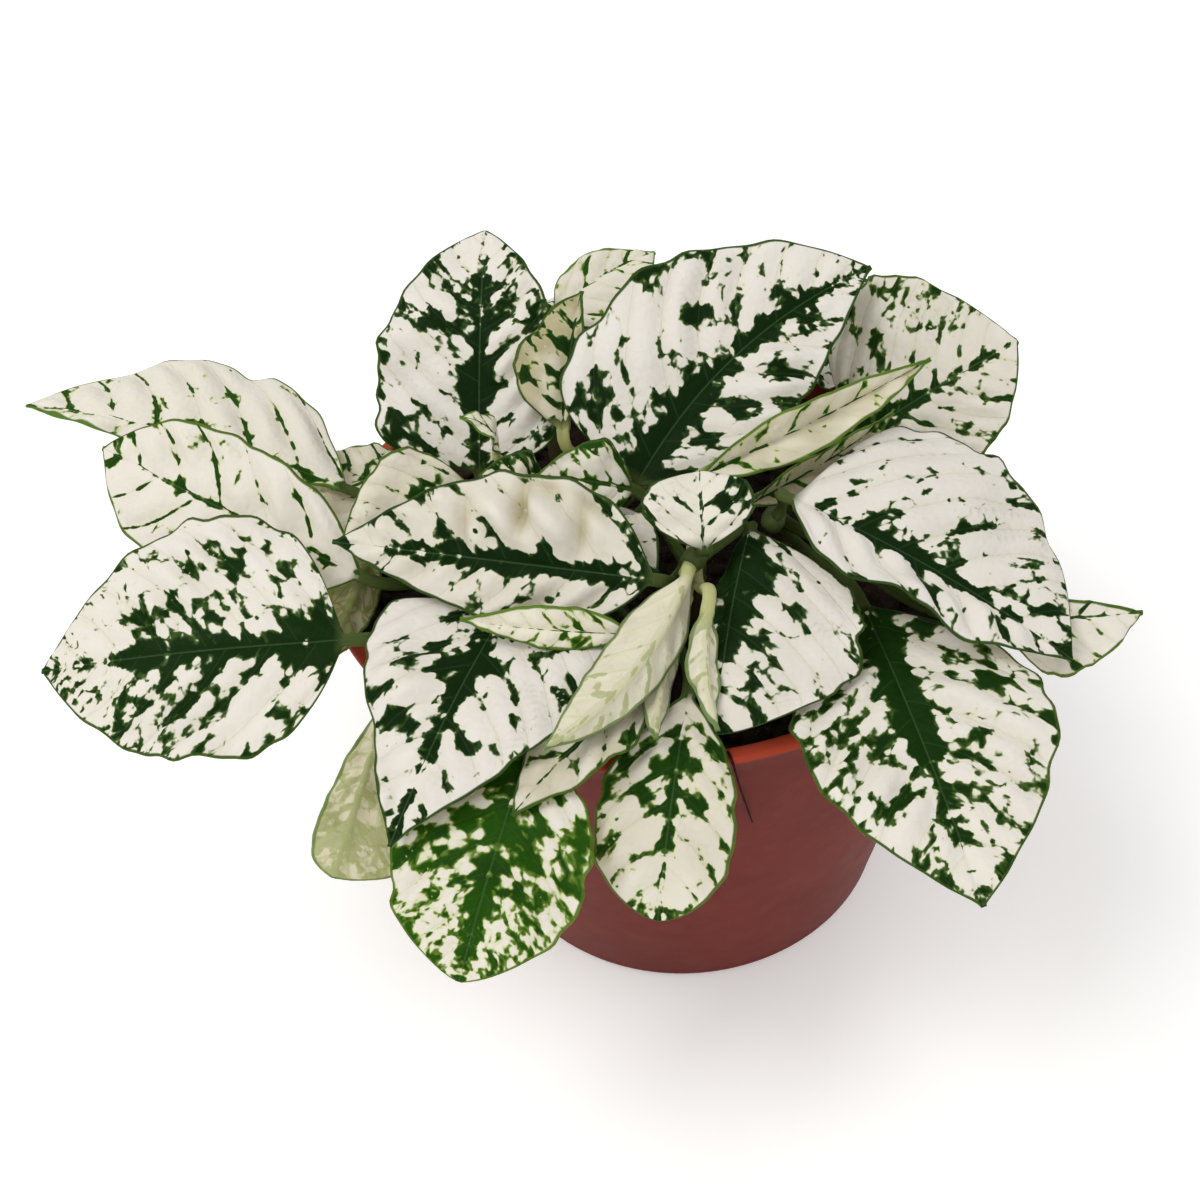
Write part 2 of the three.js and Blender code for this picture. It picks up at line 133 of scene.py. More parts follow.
def new_node(kind, values, tree=None, **settings):
    sockets = [value for value in values.values() if isinstance(value, bpy.types.NodeSocket)]
    made = (tree or sockets[0].id_data).nodes.new(f"ShaderNode{kind}")
    for name, value in settings.items():
        setattr(made, name, value)
    for key, value in values.items():
        feed(made.inputs[key], value)
    return made


def calc(operation, first, second=0.0):
    return new_node("Math", {0: first, 1: second}, operation=operation).outputs[0]


def times(first, second):
    return calc("MULTIPLY", first, second)


def total(*terms):
    result = terms[0]
    for term in terms[1:]:
        result = calc("ADD", result, term)
    return result


def scaled(value, factor, shift=0.0):
    values = {0: value, 1: factor, 2: shift}
    return new_node("Math", values, operation="MULTIPLY_ADD").outputs[0]


def band(value, low, high):
    """0 up to low, easing to 1 at high."""
    values = {"Value": value, "From Min": low, "From Max": high}
    return new_node("MapRange", values, interpolation_type="SMOOTHSTEP").outputs["Result"]


def fall(value, low, high):
    """1 up to low, easing to 0 at high."""
    return calc("SUBTRACT", 1.0, band(value, low, high))


def mix(share, first, second):
    """A colour between two."""
    return new_node("Mix", {0: share, 6: first, 7: second}, data_type="RGBA").outputs[2]


def lerp(share, first, second):
    """A value between two."""
    return new_node("Mix", {0: share, 2: first, 3: second}).outputs[0]


def split(vector):
    return tuple(new_node("SeparateXYZ", {0: vector}).outputs)


def clouds(vector, scale, detail=2.0, roughness=0.5, output="Fac"):
    values = {"Vector": vector, "Scale": scale, "Detail": detail, "Roughness": roughness}
    return new_node("TexNoise", values).outputs[output]


def cells(vector, scale, feature="F1", dimensions="3D"):
    values = {"Vector": vector, "Scale": scale}
    made = new_node("TexVoronoi", values, feature=feature, voronoi_dimensions=dimensions)
    return made.outputs


def warped(vector, scale, amount):
    """A place pushed about by smooth noise, by half the amount at most."""
    values = {0: clouds(vector, scale, 1.0, output="Color"), 1: (0.5, 0.5, 0.5)}
    shift = new_node("VectorMath", values, operation="SUBTRACT").outputs[0]
    values = {0: shift, 1: (amount, amount, amount), 2: vector}
    return new_node("VectorMath", values, operation="MULTIPLY_ADD").outputs[0]


def bump(height, distance, strength):
    values = {"Height": height, "Distance": distance, "Strength": strength}
    return new_node("Bump", values).outputs[0]


class Finish:
    """A node material, with the sockets that its nodes start from."""

    def __init__(self, name):
        self.material = bpy.data.materials.new(name)
        self.material.use_nodes = True
        self.tree = self.material.node_tree

    def attribute(self, name):
        return new_node("Attribute", {}, self.tree, attribute_name=name).outputs["Vector"]

    def place(self):
        return new_node("TexCoord", {}, self.tree).outputs["Object"]

    def shade(self, **values):
        """Sets the shader's sockets by name, with _ for a space, and returns the material."""
        for name, value in values.items():
            feed(self.tree.nodes["Principled BSDF"].inputs[name.replace("_", " ")], value)
        return self.material


# Meshes


def make_piece(
        name, points, faces, materials, slot, replaced, indices=None, attributes=None, smooth=True):
    """A mesh object from points in millimetres. With a slot, it rides on the root body."""
    mesh = bpy.data.meshes.new(name)
    mesh.from_pydata([tuple(point) for point in np.asarray(points) * MM], [], faces)
    for material in materials:
        mesh.materials.append(material)
    if indices is not None:
        mesh.polygons.foreach_set("material_index", np.asarray(indices, dtype=np.int32))
    for key, values in (attributes or {}).items():
        layer = mesh.attributes.new(key, "FLOAT_VECTOR", "POINT")
        layer.data.foreach_set("vector", np.asarray(values, dtype=np.float32).ravel())
    mesh.update()
    mesh.validate()
    if smooth:
        mesh.shade_smooth()
    piece = bpy.data.objects.new(name, mesh)
    bpy.context.scene.collection.objects.link(piece)
    if slot:
        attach(piece, "root")
    if replaced:
        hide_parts(replaced)
    return piece


def lofted(rings, ends=None):
    """Points and faces of a closed body through equal rings, with a point in the middle of each end."""
    count = len(rings[0])
    ends = ends or [np.mean(rings[0], axis=0), np.mean(rings[-1], axis=0)]
    points = np.concatenate([*rings, ends])
    start = np.arange(len(rings) - 1)[:, None] * count
    side = np.arange(count)[None, :]
    following = (side + 1) % count
    corners = [start + side, start + following, start + following + count, start + side + count]
    faces = np.stack(corners, -1).reshape(-1, 4).tolist()
    first = len(rings) * count
    last = first - count
    for i in range(count):
        after = (i + 1) % count
        faces.append([first, after, i])
        faces.append([first + 1, last + i, last + after])
    return points, faces


def tube(path, along, sides, radii, corners, squareness=0.0):
    """The rings of a tube around a path. Squareness brings out four corners of its section."""
    normals = np.cross(sides, along)
    angle = math.pi - np.linspace(0, 2 * math.pi, corners, endpoint=False)
    out = np.cos(angle)[:, None] * sides[:, None] + np.sin(angle)[:, None] * normals[:, None]
    span = radii[:, None] * (1 + squareness * np.cos(4 * angle))
    return path[:, None] + span[..., None] * out


def turned_body(profile, sides):
    """Points and faces of a body of revolution whose profile starts and ends on the axis."""
    angle = 2 * math.pi * np.arange(sides) / sides
    circle = np.stack([np.cos(angle), np.sin(angle), np.zeros(sides)], -1)
    rings = [radius * circle + (0, 0, height) for radius, height in profile[1:-1]]
    return lofted(rings, [(0, 0, profile[0][1]), (0, 0, profile[-1][1])])


def unit(vectors):
    return vectors / np.maximum(np.linalg.norm(vectors, axis=-1, keepdims=True), 1e-9)


def eased(count, ease=0.5):
    """Shares from 0 to 1 that lie closer together at both ends."""
    share = np.linspace(0, 1, count)
    return (1 - ease) * share + ease * share ** 2 * (3 - 2 * share)


def smoothstep(value, low, high):
    share = np.clip((value - low) / (high - low), 0, 1)
    return share * share * (3 - 2 * share)


# Sizes shared with the solids

POT_HEIGHT = 85
POT_RIM_RADIUS = 60
POT_FOOT_RADIUS = 40
POT_WALL = 1.3
POT_FLOOR = 1.6
FOOT_ROUND = 2.4
LIP_WIDTH = 2.8
LIP_DEPTH = 1.6
LIP_OVERHANG = 0.7
LIP_ROUND = 0.5
DRAIN_HOLES = 6
DRAIN_RADIUS = 3.6
DRAIN_RING = 25
WALL_TOP = POT_HEIGHT - LIP_DEPTH
WALL_TOP_RADIUS = POT_RIM_RADIUS - LIP_OVERHANG

GAP = 0.3
SOIL_EDGE_HEIGHT = 75
SOIL_CROWN = 2.5
SOIL_RELIEF = 0.7

STEM_FOOT_RADIUS = 2.4
STEM_TOP_RADIUS = 1.5
STEM_SUNK = 14
STEM_START = SOIL_EDGE_HEIGHT - STEM_SUNK
STEM_BEND_HEIGHT = SOIL_EDGE_HEIGHT + SOIL_CROWN + 1.5
STEM_BEND_SHARE = 0.55

PETIOLE_HALF_WIDTH = 1.1
PETIOLE_HALF_HEIGHT = 0.95
PETIOLE_GAP = 0.45
PETIOLE_REACH = 0.38
PETIOLE_LEAN = 0.4
TIP_HALF_WIDTH = 0.4
CURL_FROM = 0.5
SIDE_PHASE = 1.3

# Each stem's foot in the soil and its top
STEMS = {
    "left": dict(foot=(-24, -6), top=(-40, -12, 94)),
    "front_left": dict(foot=(-10, -20), top=(-19, -29, 94)),
    "back_left": dict(foot=(-14, 4), top=(-22, -8, 101)),
    "centre": dict(foot=(3, -20), top=(3, -31, 100)),
    "back_right": dict(foot=(2, 6), top=(-7, -11, 98)),
    "right": dict(foot=(20, -6), top=(17, -20, 96)),
    "rear_left": dict(foot=(-16, 24), top=(-22, 32, 97)),
    "rear_right": dict(foot=(18, 24), top=(22, 32, 97)),
}

# Each leaf: the stem that bears it and how far up, its blade's base and tip, and its half widths to
# the left and right of the midrib, seen from the base. Angles are in degrees: roll turns the right
# half down, fold and cup lift both halves, and curl lifts the outer part of the left or right half.
# Arch lifts the midrib, and bend moves it to the right. A blade is widest at peak, a share of its
# length. Round fills out its base, blunt fills out its tip, and soften below 1 rounds the tip. The
# margin has as many waves as waves says, wave high, and phase shifts them.
DEFAULTS = dict(
    roll=0, fold=8, cup=-10, arch=2, bend=0, peak=0.4, blunt=1.7, round=2.2, soften=1, wave=0.8,
    waves=2.5, phase=0, curl=(0, 0))


def leaf_row(stem, at, base, tip, half, **more):
    return {**DEFAULTS, "stem": stem, "at": at, "base": base, "tip": tip, "half": half, **more}


LEAVES = {
    "far_left": leaf_row(
        "left", 0.7, (-54, 4, 96), (-112, 28, 106), (4, 23), roll=-5, fold=-4, peak=0.6, round=3,
        arch=3, wave=2, phase=2.2),
    "left_back": leaf_row(
        "left", 0.9, (-51, -18, 94), (-95, 11, 106), (13, 12), roll=-42, peak=0.55, round=3, blunt=2.6),
    "left_front": leaf_row(
        "left", 0.6, (-53, -33, 94), (-103, -28, 91), (18, 22), roll=-28, blunt=2, round=4, peak=0.45),
    "left_small": leaf_row("back_left", 0.6, (-45, 7, 91), (-64, 18, 91), (20, 9), round=3),
    "left_hanging": leaf_row("left", 1, (-49, -10, 94), (-57, -32, 89), (7, 5), roll=150, fold=30),
    "low_left": leaf_row(
        "front_left", 0.4, (-47, -42, 89), (-57, -65, 76), (5, 10), roll=160, peak=0.8, blunt=2.4,
        soften=0.7),
    "tall_left": leaf_row(
        "back_left", 0.8, (-30, -2, 100), (-24, 26, 130), (18, 14), peak=0.3, round=4, blunt=2.6,
        soften=0.8),
    "cream_left": leaf_row("back_left", 1, (-31, -11, 104), (-53, -15, 100), (6, 10), roll=-45),
    "bud_left": leaf_row("back_left", 1, (-26, -8, 108), (-31, -8, 116), (4, 4)),
    "curled_left": leaf_row("back_left", 1, (-19, -15, 105), (-29, -16, 110), (4, 5), roll=-40),
    "speckled": leaf_row("centre", 0.6, (-5, -17, 104), (-20, -18, 110), (5, 7), roll=-45),
    "narrow_back": leaf_row("back_right", 0.7, (-15, -4, 108), (-9, 14, 123), (9, 3), fold=20),
    "tall_right": leaf_row(
        "back_right", 1, (-4, -14, 103), (39, 10, 123), (21, 15), roll=30, fold=14, peak=0.34, round=6,
        blunt=2, bend=-4),
    "far_back": leaf_row(
        "right", 0.5, (34, -2, 97), (62, 1, 111), (22, 14), roll=40, blunt=2.6, round=3),
    "folded_upper": leaf_row("centre", 0.8, (5, -21, 108), (45, -7, 115), (5, 5), roll=60, fold=40),
    "folded_lower": leaf_row("centre", 0.6, (13, -17, 98), (40, -5, 104), (4, 4), roll=70, fold=40),
    "right_back": leaf_row(
        "right", 1, (19, -27, 106), (56, -53, 90), (27, 10), round=5, blunt=2.4, peak=0.42),
    "right_small": leaf_row("right", 0.8, (49, -41, 88), (70, -44, 89), (3, 9), roll=50),
    "right_front": leaf_row("right", 0.5, (28, -38, 92), (34, -87, 80), (20, 18), peak=0.45, blunt=1.9),
    "front_right": leaf_row(
        "centre", 0.9, (12, -29, 103), (2, -58, 89), (20, 5), roll=15, fold=-12, round=3, curl=(0, -30),
        peak=0.55, blunt=2.2, soften=0.8),
    "centre_small": leaf_row("centre", 1, (4, -35, 105), (5, -26, 113), (9, 8), peak=0.55, blunt=3),
    "centre_big": leaf_row(
        "centre", 0.7, (-4, -37, 102), (-54, -18, 102), (9, 14), roll=-45, round=4, blunt=1.4,
        peak=0.45),
    "centre_fold": leaf_row("back_right", 0.5, (-12, -16, 99), (-3, -32, 99), (6, 5)),
    "young_left": leaf_row(
        "centre", 1, (1, -38, 103), (-23, -62, 95), (7, 5), roll=150, fold=40, arch=-2, bend=3, round=3,
        blunt=2.4),
    "young_middle": leaf_row("centre", 0.55, (-1, -42, 98), (-7, -61, 93), (4, 4), roll=150, fold=50),
    "young_right": leaf_row("centre", 0.9, (3, -46, 103), (2, -60, 92), (3, 3), roll=150, fold=20),
    "rolled_strip": leaf_row("centre", 0.4, (-8, -44, 98), (-34, -37, 99), (3, 4), roll=-60),
    "front_left": leaf_row(
        "front_left", 1, (-27, -31, 95), (-47, -67, 84), (23, 19), peak=0.25, round=4, blunt=1.2),
    "green_front": leaf_row(
        "front_left", 0.6, (-25, -53, 88), (-39, -83, 72), (15, 16), arch=1, blunt=2.4, peak=0.5,
        soften=0.75),
    "small_front": leaf_row(
        "front_left", 0.4, (-1, -50, 90), (-10, -77, 72), (10, 11), peak=0.6, blunt=2.5, soften=0.65),
    "grey_front": leaf_row("front_left", 0.8, (-7, -49, 91), (-29, -65, 85), (7, 8)),
    "rear_far_left": leaf_row("left", 0.4, (-58, 18, 87), (-84, 42, 78), (12, 9), peak=0.45),
    "rear_left": leaf_row("rear_left", 1, (-21, 46, 97), (-24, 86, 78), (14, 14)),
    "rear_middle": leaf_row("rear_left", 0.7, (2, 44, 93), (6, 82, 78), (13, 13), arch=4),
    "rear_right": leaf_row("rear_right", 1, (25, 44, 97), (30, 84, 79), (14, 14)),
    "rear_far_right": leaf_row("rear_right", 0.6, (38, 26, 94), (66, 36, 84), (13, 12)),
    "rear_upper": leaf_row("rear_left", 1, (-14, 36, 107), (6, 44, 112), (6, 12), roll=20, round=3),
    "rear_inner": leaf_row("rear_right", 0.4, (12, 26, 100), (-12, 14, 103), (12, 12)),
    "rear_inner_right": leaf_row("rear_right", 0.8, (30, 20, 99), (50, 10, 99), (10, 10)),
    "rear_centre": leaf_row("rear_left", 0.8, (-6, 36, 101), (-6, 60, 95), (10, 10)),
    "rear_corner": leaf_row("rear_right", 0.9, (34, 40, 100), (54, 60, 89), (10, 10)),
    "rear_upper_right": leaf_row("rear_right", 1, (24, 26, 102), (28, 44, 105), (10, 10)),
}

# How each leaf looks. Green: how far the green spreads. Fresh: how light that green is. Cream: how warm
# the white is. Shade: how much painted shade dulls the white. Speck: how finely the tip is speckled.
# Middle:
# half the width of the dark zone along the midrib, in millimetres. Veins: how many side veins each half
# has.
# Lines: how green they are in the white. Pucker: how far the blade bulges between them. Frill: how wavy
# the margin is. A touch adds green, or takes it with a minus: where along and across the blade, in
# shares, its radius in millimetres, and how much. A lump raises or sinks the blade: where along and
# across, how far it reaches along and across, in millimetres, and its height.
PLAIN_LOOK = dict(
    green=0.0, fresh=0.15, cream=0.15, shade=0.0, speck=0.5, middle=2.6, veins=7, lines=0.0, pucker=1.0,
    frill=1.0, touches=(), lumps=())
LOOKS = {
    "rear_upper": dict(
        green=-0.42, fresh=0.9, cream=0.6, middle=0.5, veins=5, lines=0.4,
        touches=((0.45, -0.5, 1.5, 0.6), (0.15, -0.6, 2, 0.6))),
    "far_left": dict(green=-0.42, fresh=0.75, cream=0.35, middle=0.8, frill=1.6, speck=0.1, lines=0.85),
    "left_back": dict(green=-0.38, fresh=0.6, cream=0.3, middle=0.8, speck=0.2, lines=0.9, veins=6),
    "left_front": dict(
        green=0.07, fresh=0.22, middle=2.3, speck=0.85,
        touches=((0.2, 0, 6, 0.2), (0.6, 0.6, 6, -0.25), (0.8, 0.1, 5, -0.12))),
    "left_small": dict(green=-0.25, cream=0.7, fresh=0.5, speck=0.2, veins=6, shade=0.4, lines=0.6),
    "left_hanging": dict(green=0.15, fresh=0.6, cream=0.9, middle=0.8, veins=5, shade=1.0),
    "low_left": dict(
        green=-0.05, fresh=0.75, cream=0.6, middle=0.8, veins=6, shade=0.45,
        touches=((0.85, 0, 9, 0.6),)),
    "tall_left": dict(
        green=0.06, middle=2.2, speck=0.6,
        touches=((0.45, 0, 4, 0.35), (0.62, -0.5, 2, 0.7), (0.72, 0.45, 2, 0.7), (0.15, -0.85, 3, 0.5),
                 (0.9, 0, 4, -0.2), (0.35, 0.55, 5, -0.2))),
    "cream_left": dict(
        green=-0.3, fresh=0.4, cream=0.8, middle=0.6, veins=5, shade=0.15,
        touches=((0.35, 0.1, 2.2, 0.8), (0.2, 0.9, 2.5, 0.6))),
    "bud_left": dict(green=0.1, fresh=0.8, cream=0.8, middle=0.8, veins=4),
    "curled_left": dict(green=0.3, fresh=0.35, cream=0.9, middle=0.8, veins=4, speck=1.0),
    "speckled": dict(
        green=0.16, fresh=0.6, cream=0.5, middle=0.8, veins=4, speck=1.0,
        touches=((0.2, -0.7, 3, 0.3),)),
    "narrow_back": dict(
        green=-0.02, fresh=0.35, cream=0.95, middle=0.5, veins=5, shade=0.9, speck=0.6,
        touches=((0.6, -0.2, 2.5, 0.5), (0.35, 0.2, 2, 0.5))),
    "tall_right": dict(
        green=-0.02, middle=2.2, speck=0.7,
        touches=((0.12, 0, 7, 0.5), (0.3, 0, 5, 0.35), (0.3, -0.55, 6, -0.35), (0.5, -0.45, 2.2, 0.8),
                 (0.72, 0.1, 4, 0.3))),
    "far_back": dict(green=-0.04, cream=0.1, middle=1.6, speck=0.4, fresh=0.3, shade=0.2),
    "folded_upper": dict(green=-0.3, fresh=0.85, cream=0.9, middle=0.9, shade=0.45),
    "folded_lower": dict(green=-0.12, fresh=0.8, cream=0.9, middle=0.9, shade=0.7),
    "right_back": dict(
        green=-0.16, middle=1.5, speck=0.2,
        lumps=((0.08, 1, 5, 5, 2.0), (0.45, 1, 6, 4, 1.2), (0.3, -0.6, 7, 8, 1.0)),
        touches=((0.02, 0, 8, -0.8), (0.12, 0.8, 5, -0.5), (0.28, -0.12, 4, 0.8), (0.44, -0.05, 4, 0.6),
                 (0.6, 0.05, 3, 0.4), (0.85, -0.6, 4, 0.35), (0.95, 0, 3, 0.3))),
    "right_small": dict(green=-0.25, fresh=0.5, cream=0.3, middle=0.5, veins=5, lines=0.15),
    "right_front": dict(
        green=0.09, middle=2.8, fresh=0.3,
        touches=((0.45, 0, 6, 0.35), (0.88, 0, 5, -0.3), (0.3, 0.7, 5, 0.15))),
    "front_right": dict(
        green=-0.1, middle=3.2, speck=0.2, shade=0.12,
        touches=((0.2, -0.1, 5, 0.4), (0.55, -0.25, 3, 0.7), (0.75, -0.3, 2.5, 0.5),
                 (0.82, 0.3, 5, -0.6), (0.97, 0, 2, 0.6))),
    "centre_small": dict(
        green=-0.25, cream=0.5, fresh=0.1, middle=0.5, veins=4,
        touches=((0.5, 0.4, 1.6, 0.9), (0.4, 0.95, 2.2, 0.8), (0.8, 0.8, 2, 0.7),
                 (0.85, -0.1, 1.2, 0.6), (0.72, -0.35, 1, 0.6))),
    "centre_big": dict(
        green=-0.16, cream=0.4, middle=2.0, speck=0.3, pucker=1.5, shade=0.12,
        lumps=((0.3, 0.5, 5, 4, 3.0), (0.5, 0.55, 5, 3.5, 2.6), (0.2, 0.85, 4, 2.5, -1.8),
               (0.4, 0.6, 1.2, 5, -3.2), (0.66, 0.6, 4, 4, 1.4), (0.22, 0.45, 1.2, 4, -2.2),
               (0.57, 0.45, 1.3, 4, -2.2), (0.33, 0.85, 3, 1.2, -1.6)),
        touches=((0.12, 0, 6, 0.45), (0.34, -0.05, 5, 0.45), (0.66, 0.2, 3, 0.6), (0.82, 0, 6, -0.45),
                 (0.3, 0.6, 8, -0.35), (0.55, 0.6, 6, -0.3), (0.74, 0.6, 2.2, 0.6), (0.97, 0, 2.5, 0.7),
                 (0.55, -0.7, 5, -0.2), (0.86, 0.9, 1.8, 0.6), (0.7, 0.98, 1.6, 0.6),
                 (0.52, 0.98, 1.8, 0.7))),
    "centre_fold": dict(green=-0.25, cream=0.5, middle=0.5, veins=4, shade=0.2),
    "young_left": dict(
        green=-0.35, fresh=0.9, cream=0.8, middle=0.5, shade=0.05, lines=0.2,
        touches=((0.85, 0.9, 3, 0.5), (0.5, 0.9, 2.5, 0.5), (0.3, 0.8, 2, 0.4))),
    "young_middle": dict(green=-0.3, fresh=0.8, cream=0.8, middle=0.6, veins=5, shade=0.3),
    "young_right": dict(green=-0.3, fresh=0.8, cream=0.8, middle=0.6, veins=5),
    "rolled_strip": dict(
        green=-0.5, fresh=0.9, cream=0.9, middle=0.3, frill=1.4,
        touches=((0.5, -1, 1.6, 0.5), (0.25, -1, 1.6, 0.5), (0.75, -1, 1.6, 0.5))),
    "front_left": dict(
        green=-0.06, middle=2.0, speck=0.3, cream=0.2,
        lumps=((0.3, -0.6, 6, 6, 1.4), (0.45, 0.6, 6, 6, 1.2)),
        touches=((0.35, 0, 4, 0.35), (0.12, 0.75, 4, -0.5), (0.2, -0.9, 3, 0.5), (0.55, 0.5, 3, 0.4),
                 (0.3, 0.35, 3, 0.4))),
    "green_front": dict(green=0.26, fresh=0.85, middle=3.8, speck=0.9, cream=0.4),
    "small_front": dict(
        green=-0.14, fresh=0.5, cream=0.4, middle=1.5, veins=6, shade=0.2,
        touches=((0.1, 0.6, 4, -0.7), (0.1, -0.6, 4, -0.7), (0.5, 0, 3.5, 0.4))),
    "grey_front": dict(green=-0.22, fresh=0.4, cream=0.5, middle=0.8, veins=5, shade=0.45),
}

# Leaf shape. Lengths are in millimetres.

BLADE_THICKNESS = 0.2
MARGIN_THICKNESS = 0.1
RIDGE_DEPTH = 0.62
RIDGE_WIDTH = 0.75
GROOVE_DEPTH = 0.22
GROOVE_WIDTH = 0.6
VEIN_DEPTH = 0.13
# A petiole starts this share of its stem's radius from the stem's axis
PETIOLE_START = 0.4
PETIOLE_RINGS = 12
PETIOLE_CREST = 0.3
PETIOLE_FADE_RINGS = 4
# The length of a step along or across a blade, and the fewest and the most steps
RING_STEPS = (0.75, 20, 76)
COLUMN_STEPS = (0.8, 7, 24)
# How deep the fine waves of the outline are, as a share of the width, and how many there are
OUTLINE_WAVES = ((0.018, 5.3), (0.012, 9.1))
# Frills of the margin: how high, how many, and how far those of the right half are shifted
FRILLS = ((0.5, 2.7, 0.31), (0.22, 5.6, 0.57))
# Broad swells of the blade: how high, how many, and how far they slant from the left half to the right
SWELLS = ((0.6, 1.7, 3), (0.3, 3.1, -5))
PUCKER_HEIGHT = 0.16
# How much painted shade the creases between the side veins get
CREASE_SHADE = 0.16
# A blade with this half width or more gets its relief in full, and a narrower one gets a share
FULL_RELIEF_WIDTH = 14
LEFT_VEIN_SHIFT = 0.42
# The map that the noise is drawn on leans along with the side veins and is scaled across the blade.
# It lies deeper in the noise for each next leaf, and its two halves part from the midrib out.
FLAT_LEAN = 0.32
FLAT_STRETCH = 0.86
LEAF_APART = 17.3
HALVES_APART = 0.12
FIRST_SEED = 3


def turned(side, normal, degrees):
    cos, sin = math.cos(math.radians(degrees)), math.sin(math.radians(degrees))
    return side * cos - normal * sin, normal * cos + side * sin


def midrib(leaf, share):
    """Points of the midrib with the directions along it, across the blade and out of it."""
    base = np.array(leaf["base"], float)
    chord = np.array(leaf["tip"], float) - base
    level = unit(np.cross(chord, (0, 0, 1)))
    side, normal = turned(level, unit(np.cross(level, chord)), leaf["roll"])
    bow = normal * leaf["arch"] + side * leaf["bend"]
    s = share[:, None]
    point = base + chord * s + bow * 4 * s * (1 - s)
    along = unit(chord + bow * 4 * (1 - 2 * s))
    across = unit(side - along * np.sum(side * along, axis=-1, keepdims=True))
    return point, along, across, np.cross(across, along)


def half_width(leaf, share, half):
    peak = leaf["peak"]
    rising = 1 - np.maximum(0, 1 - share / peak) ** leaf["round"]
    falling = 1 - np.maximum(0, (share - peak) / (1 - peak)) ** leaf["blunt"]
    falling = np.maximum(0, falling) ** leaf["soften"]
    full = np.where(share < peak, rising, falling)
    least = PETIOLE_HALF_WIDTH + (TIP_HALF_WIDTH - PETIOLE_HALF_WIDTH) * share
    return np.maximum(half * full, least)


def stem_axis(stem, share):
    """Points, directions and radii along a stem's curve out of the soil."""
    x, y = stem["foot"]
    start = np.array((x, y, STEM_BEND_HEIGHT), float)
    top = np.array(stem["top"], float)
    bend = np.array((x, y, STEM_BEND_HEIGHT + STEM_BEND_SHARE * (top[2] - STEM_BEND_HEIGHT)))
    share = np.atleast_1d(share)
    s = share[:, None]
    point = start * (1 - s) ** 2 + bend * 2 * s * (1 - s) + top * s ** 2
    along = unit((bend - start) * (1 - s) + (top - bend) * s)
    return point, along, STEM_FOOT_RADIUS + (STEM_TOP_RADIUS - STEM_FOOT_RADIUS) * share


def petiole_axis(leaf, count):
    """Points from in the stem to just before the blade, with the directions along and across."""
    node, stem_along, radius = (value[0] for value in stem_axis(STEMS[leaf["stem"]], leaf["at"]))
    point, along, across, _ = (value[0] for value in midrib(leaf, np.zeros(1)))
    away = point - node
    away = unit(away - stem_along * np.dot(away, stem_along))
    start = node + away * (radius + PETIOLE_GAP)
    reach = PETIOLE_REACH * np.linalg.norm(point - start)
    lean = unit(away + PETIOLE_LEAN * stem_along)
    knots = [start, start + lean * reach, point - along * reach, point]
    s = (np.arange(count) / count)[:, None]
    spots = (knots[0] * (1 - s) ** 3 + knots[1] * 3 * s * (1 - s) ** 2
             + knots[2] * 3 * s ** 2 * (1 - s) + knots[3] * s ** 3)
    ways = unit((knots[1] - knots[0]) * (1 - s) ** 2 + (knots[2] - knots[1]) * 2 * s * (1 - s)
                + (knots[3] - knots[2]) * s ** 2)
    inside = node + away * radius * PETIOLE_START
    spots = np.concatenate([[inside], spots])
    ways = np.concatenate([[lean], ways])
    sides = unit(across - ways * np.sum(ways * across, axis=-1, keepdims=True))
    return spots, ways, sides


def steps(size, step, fewest, most):
    return int(np.clip(round(size / step), fewest, most))


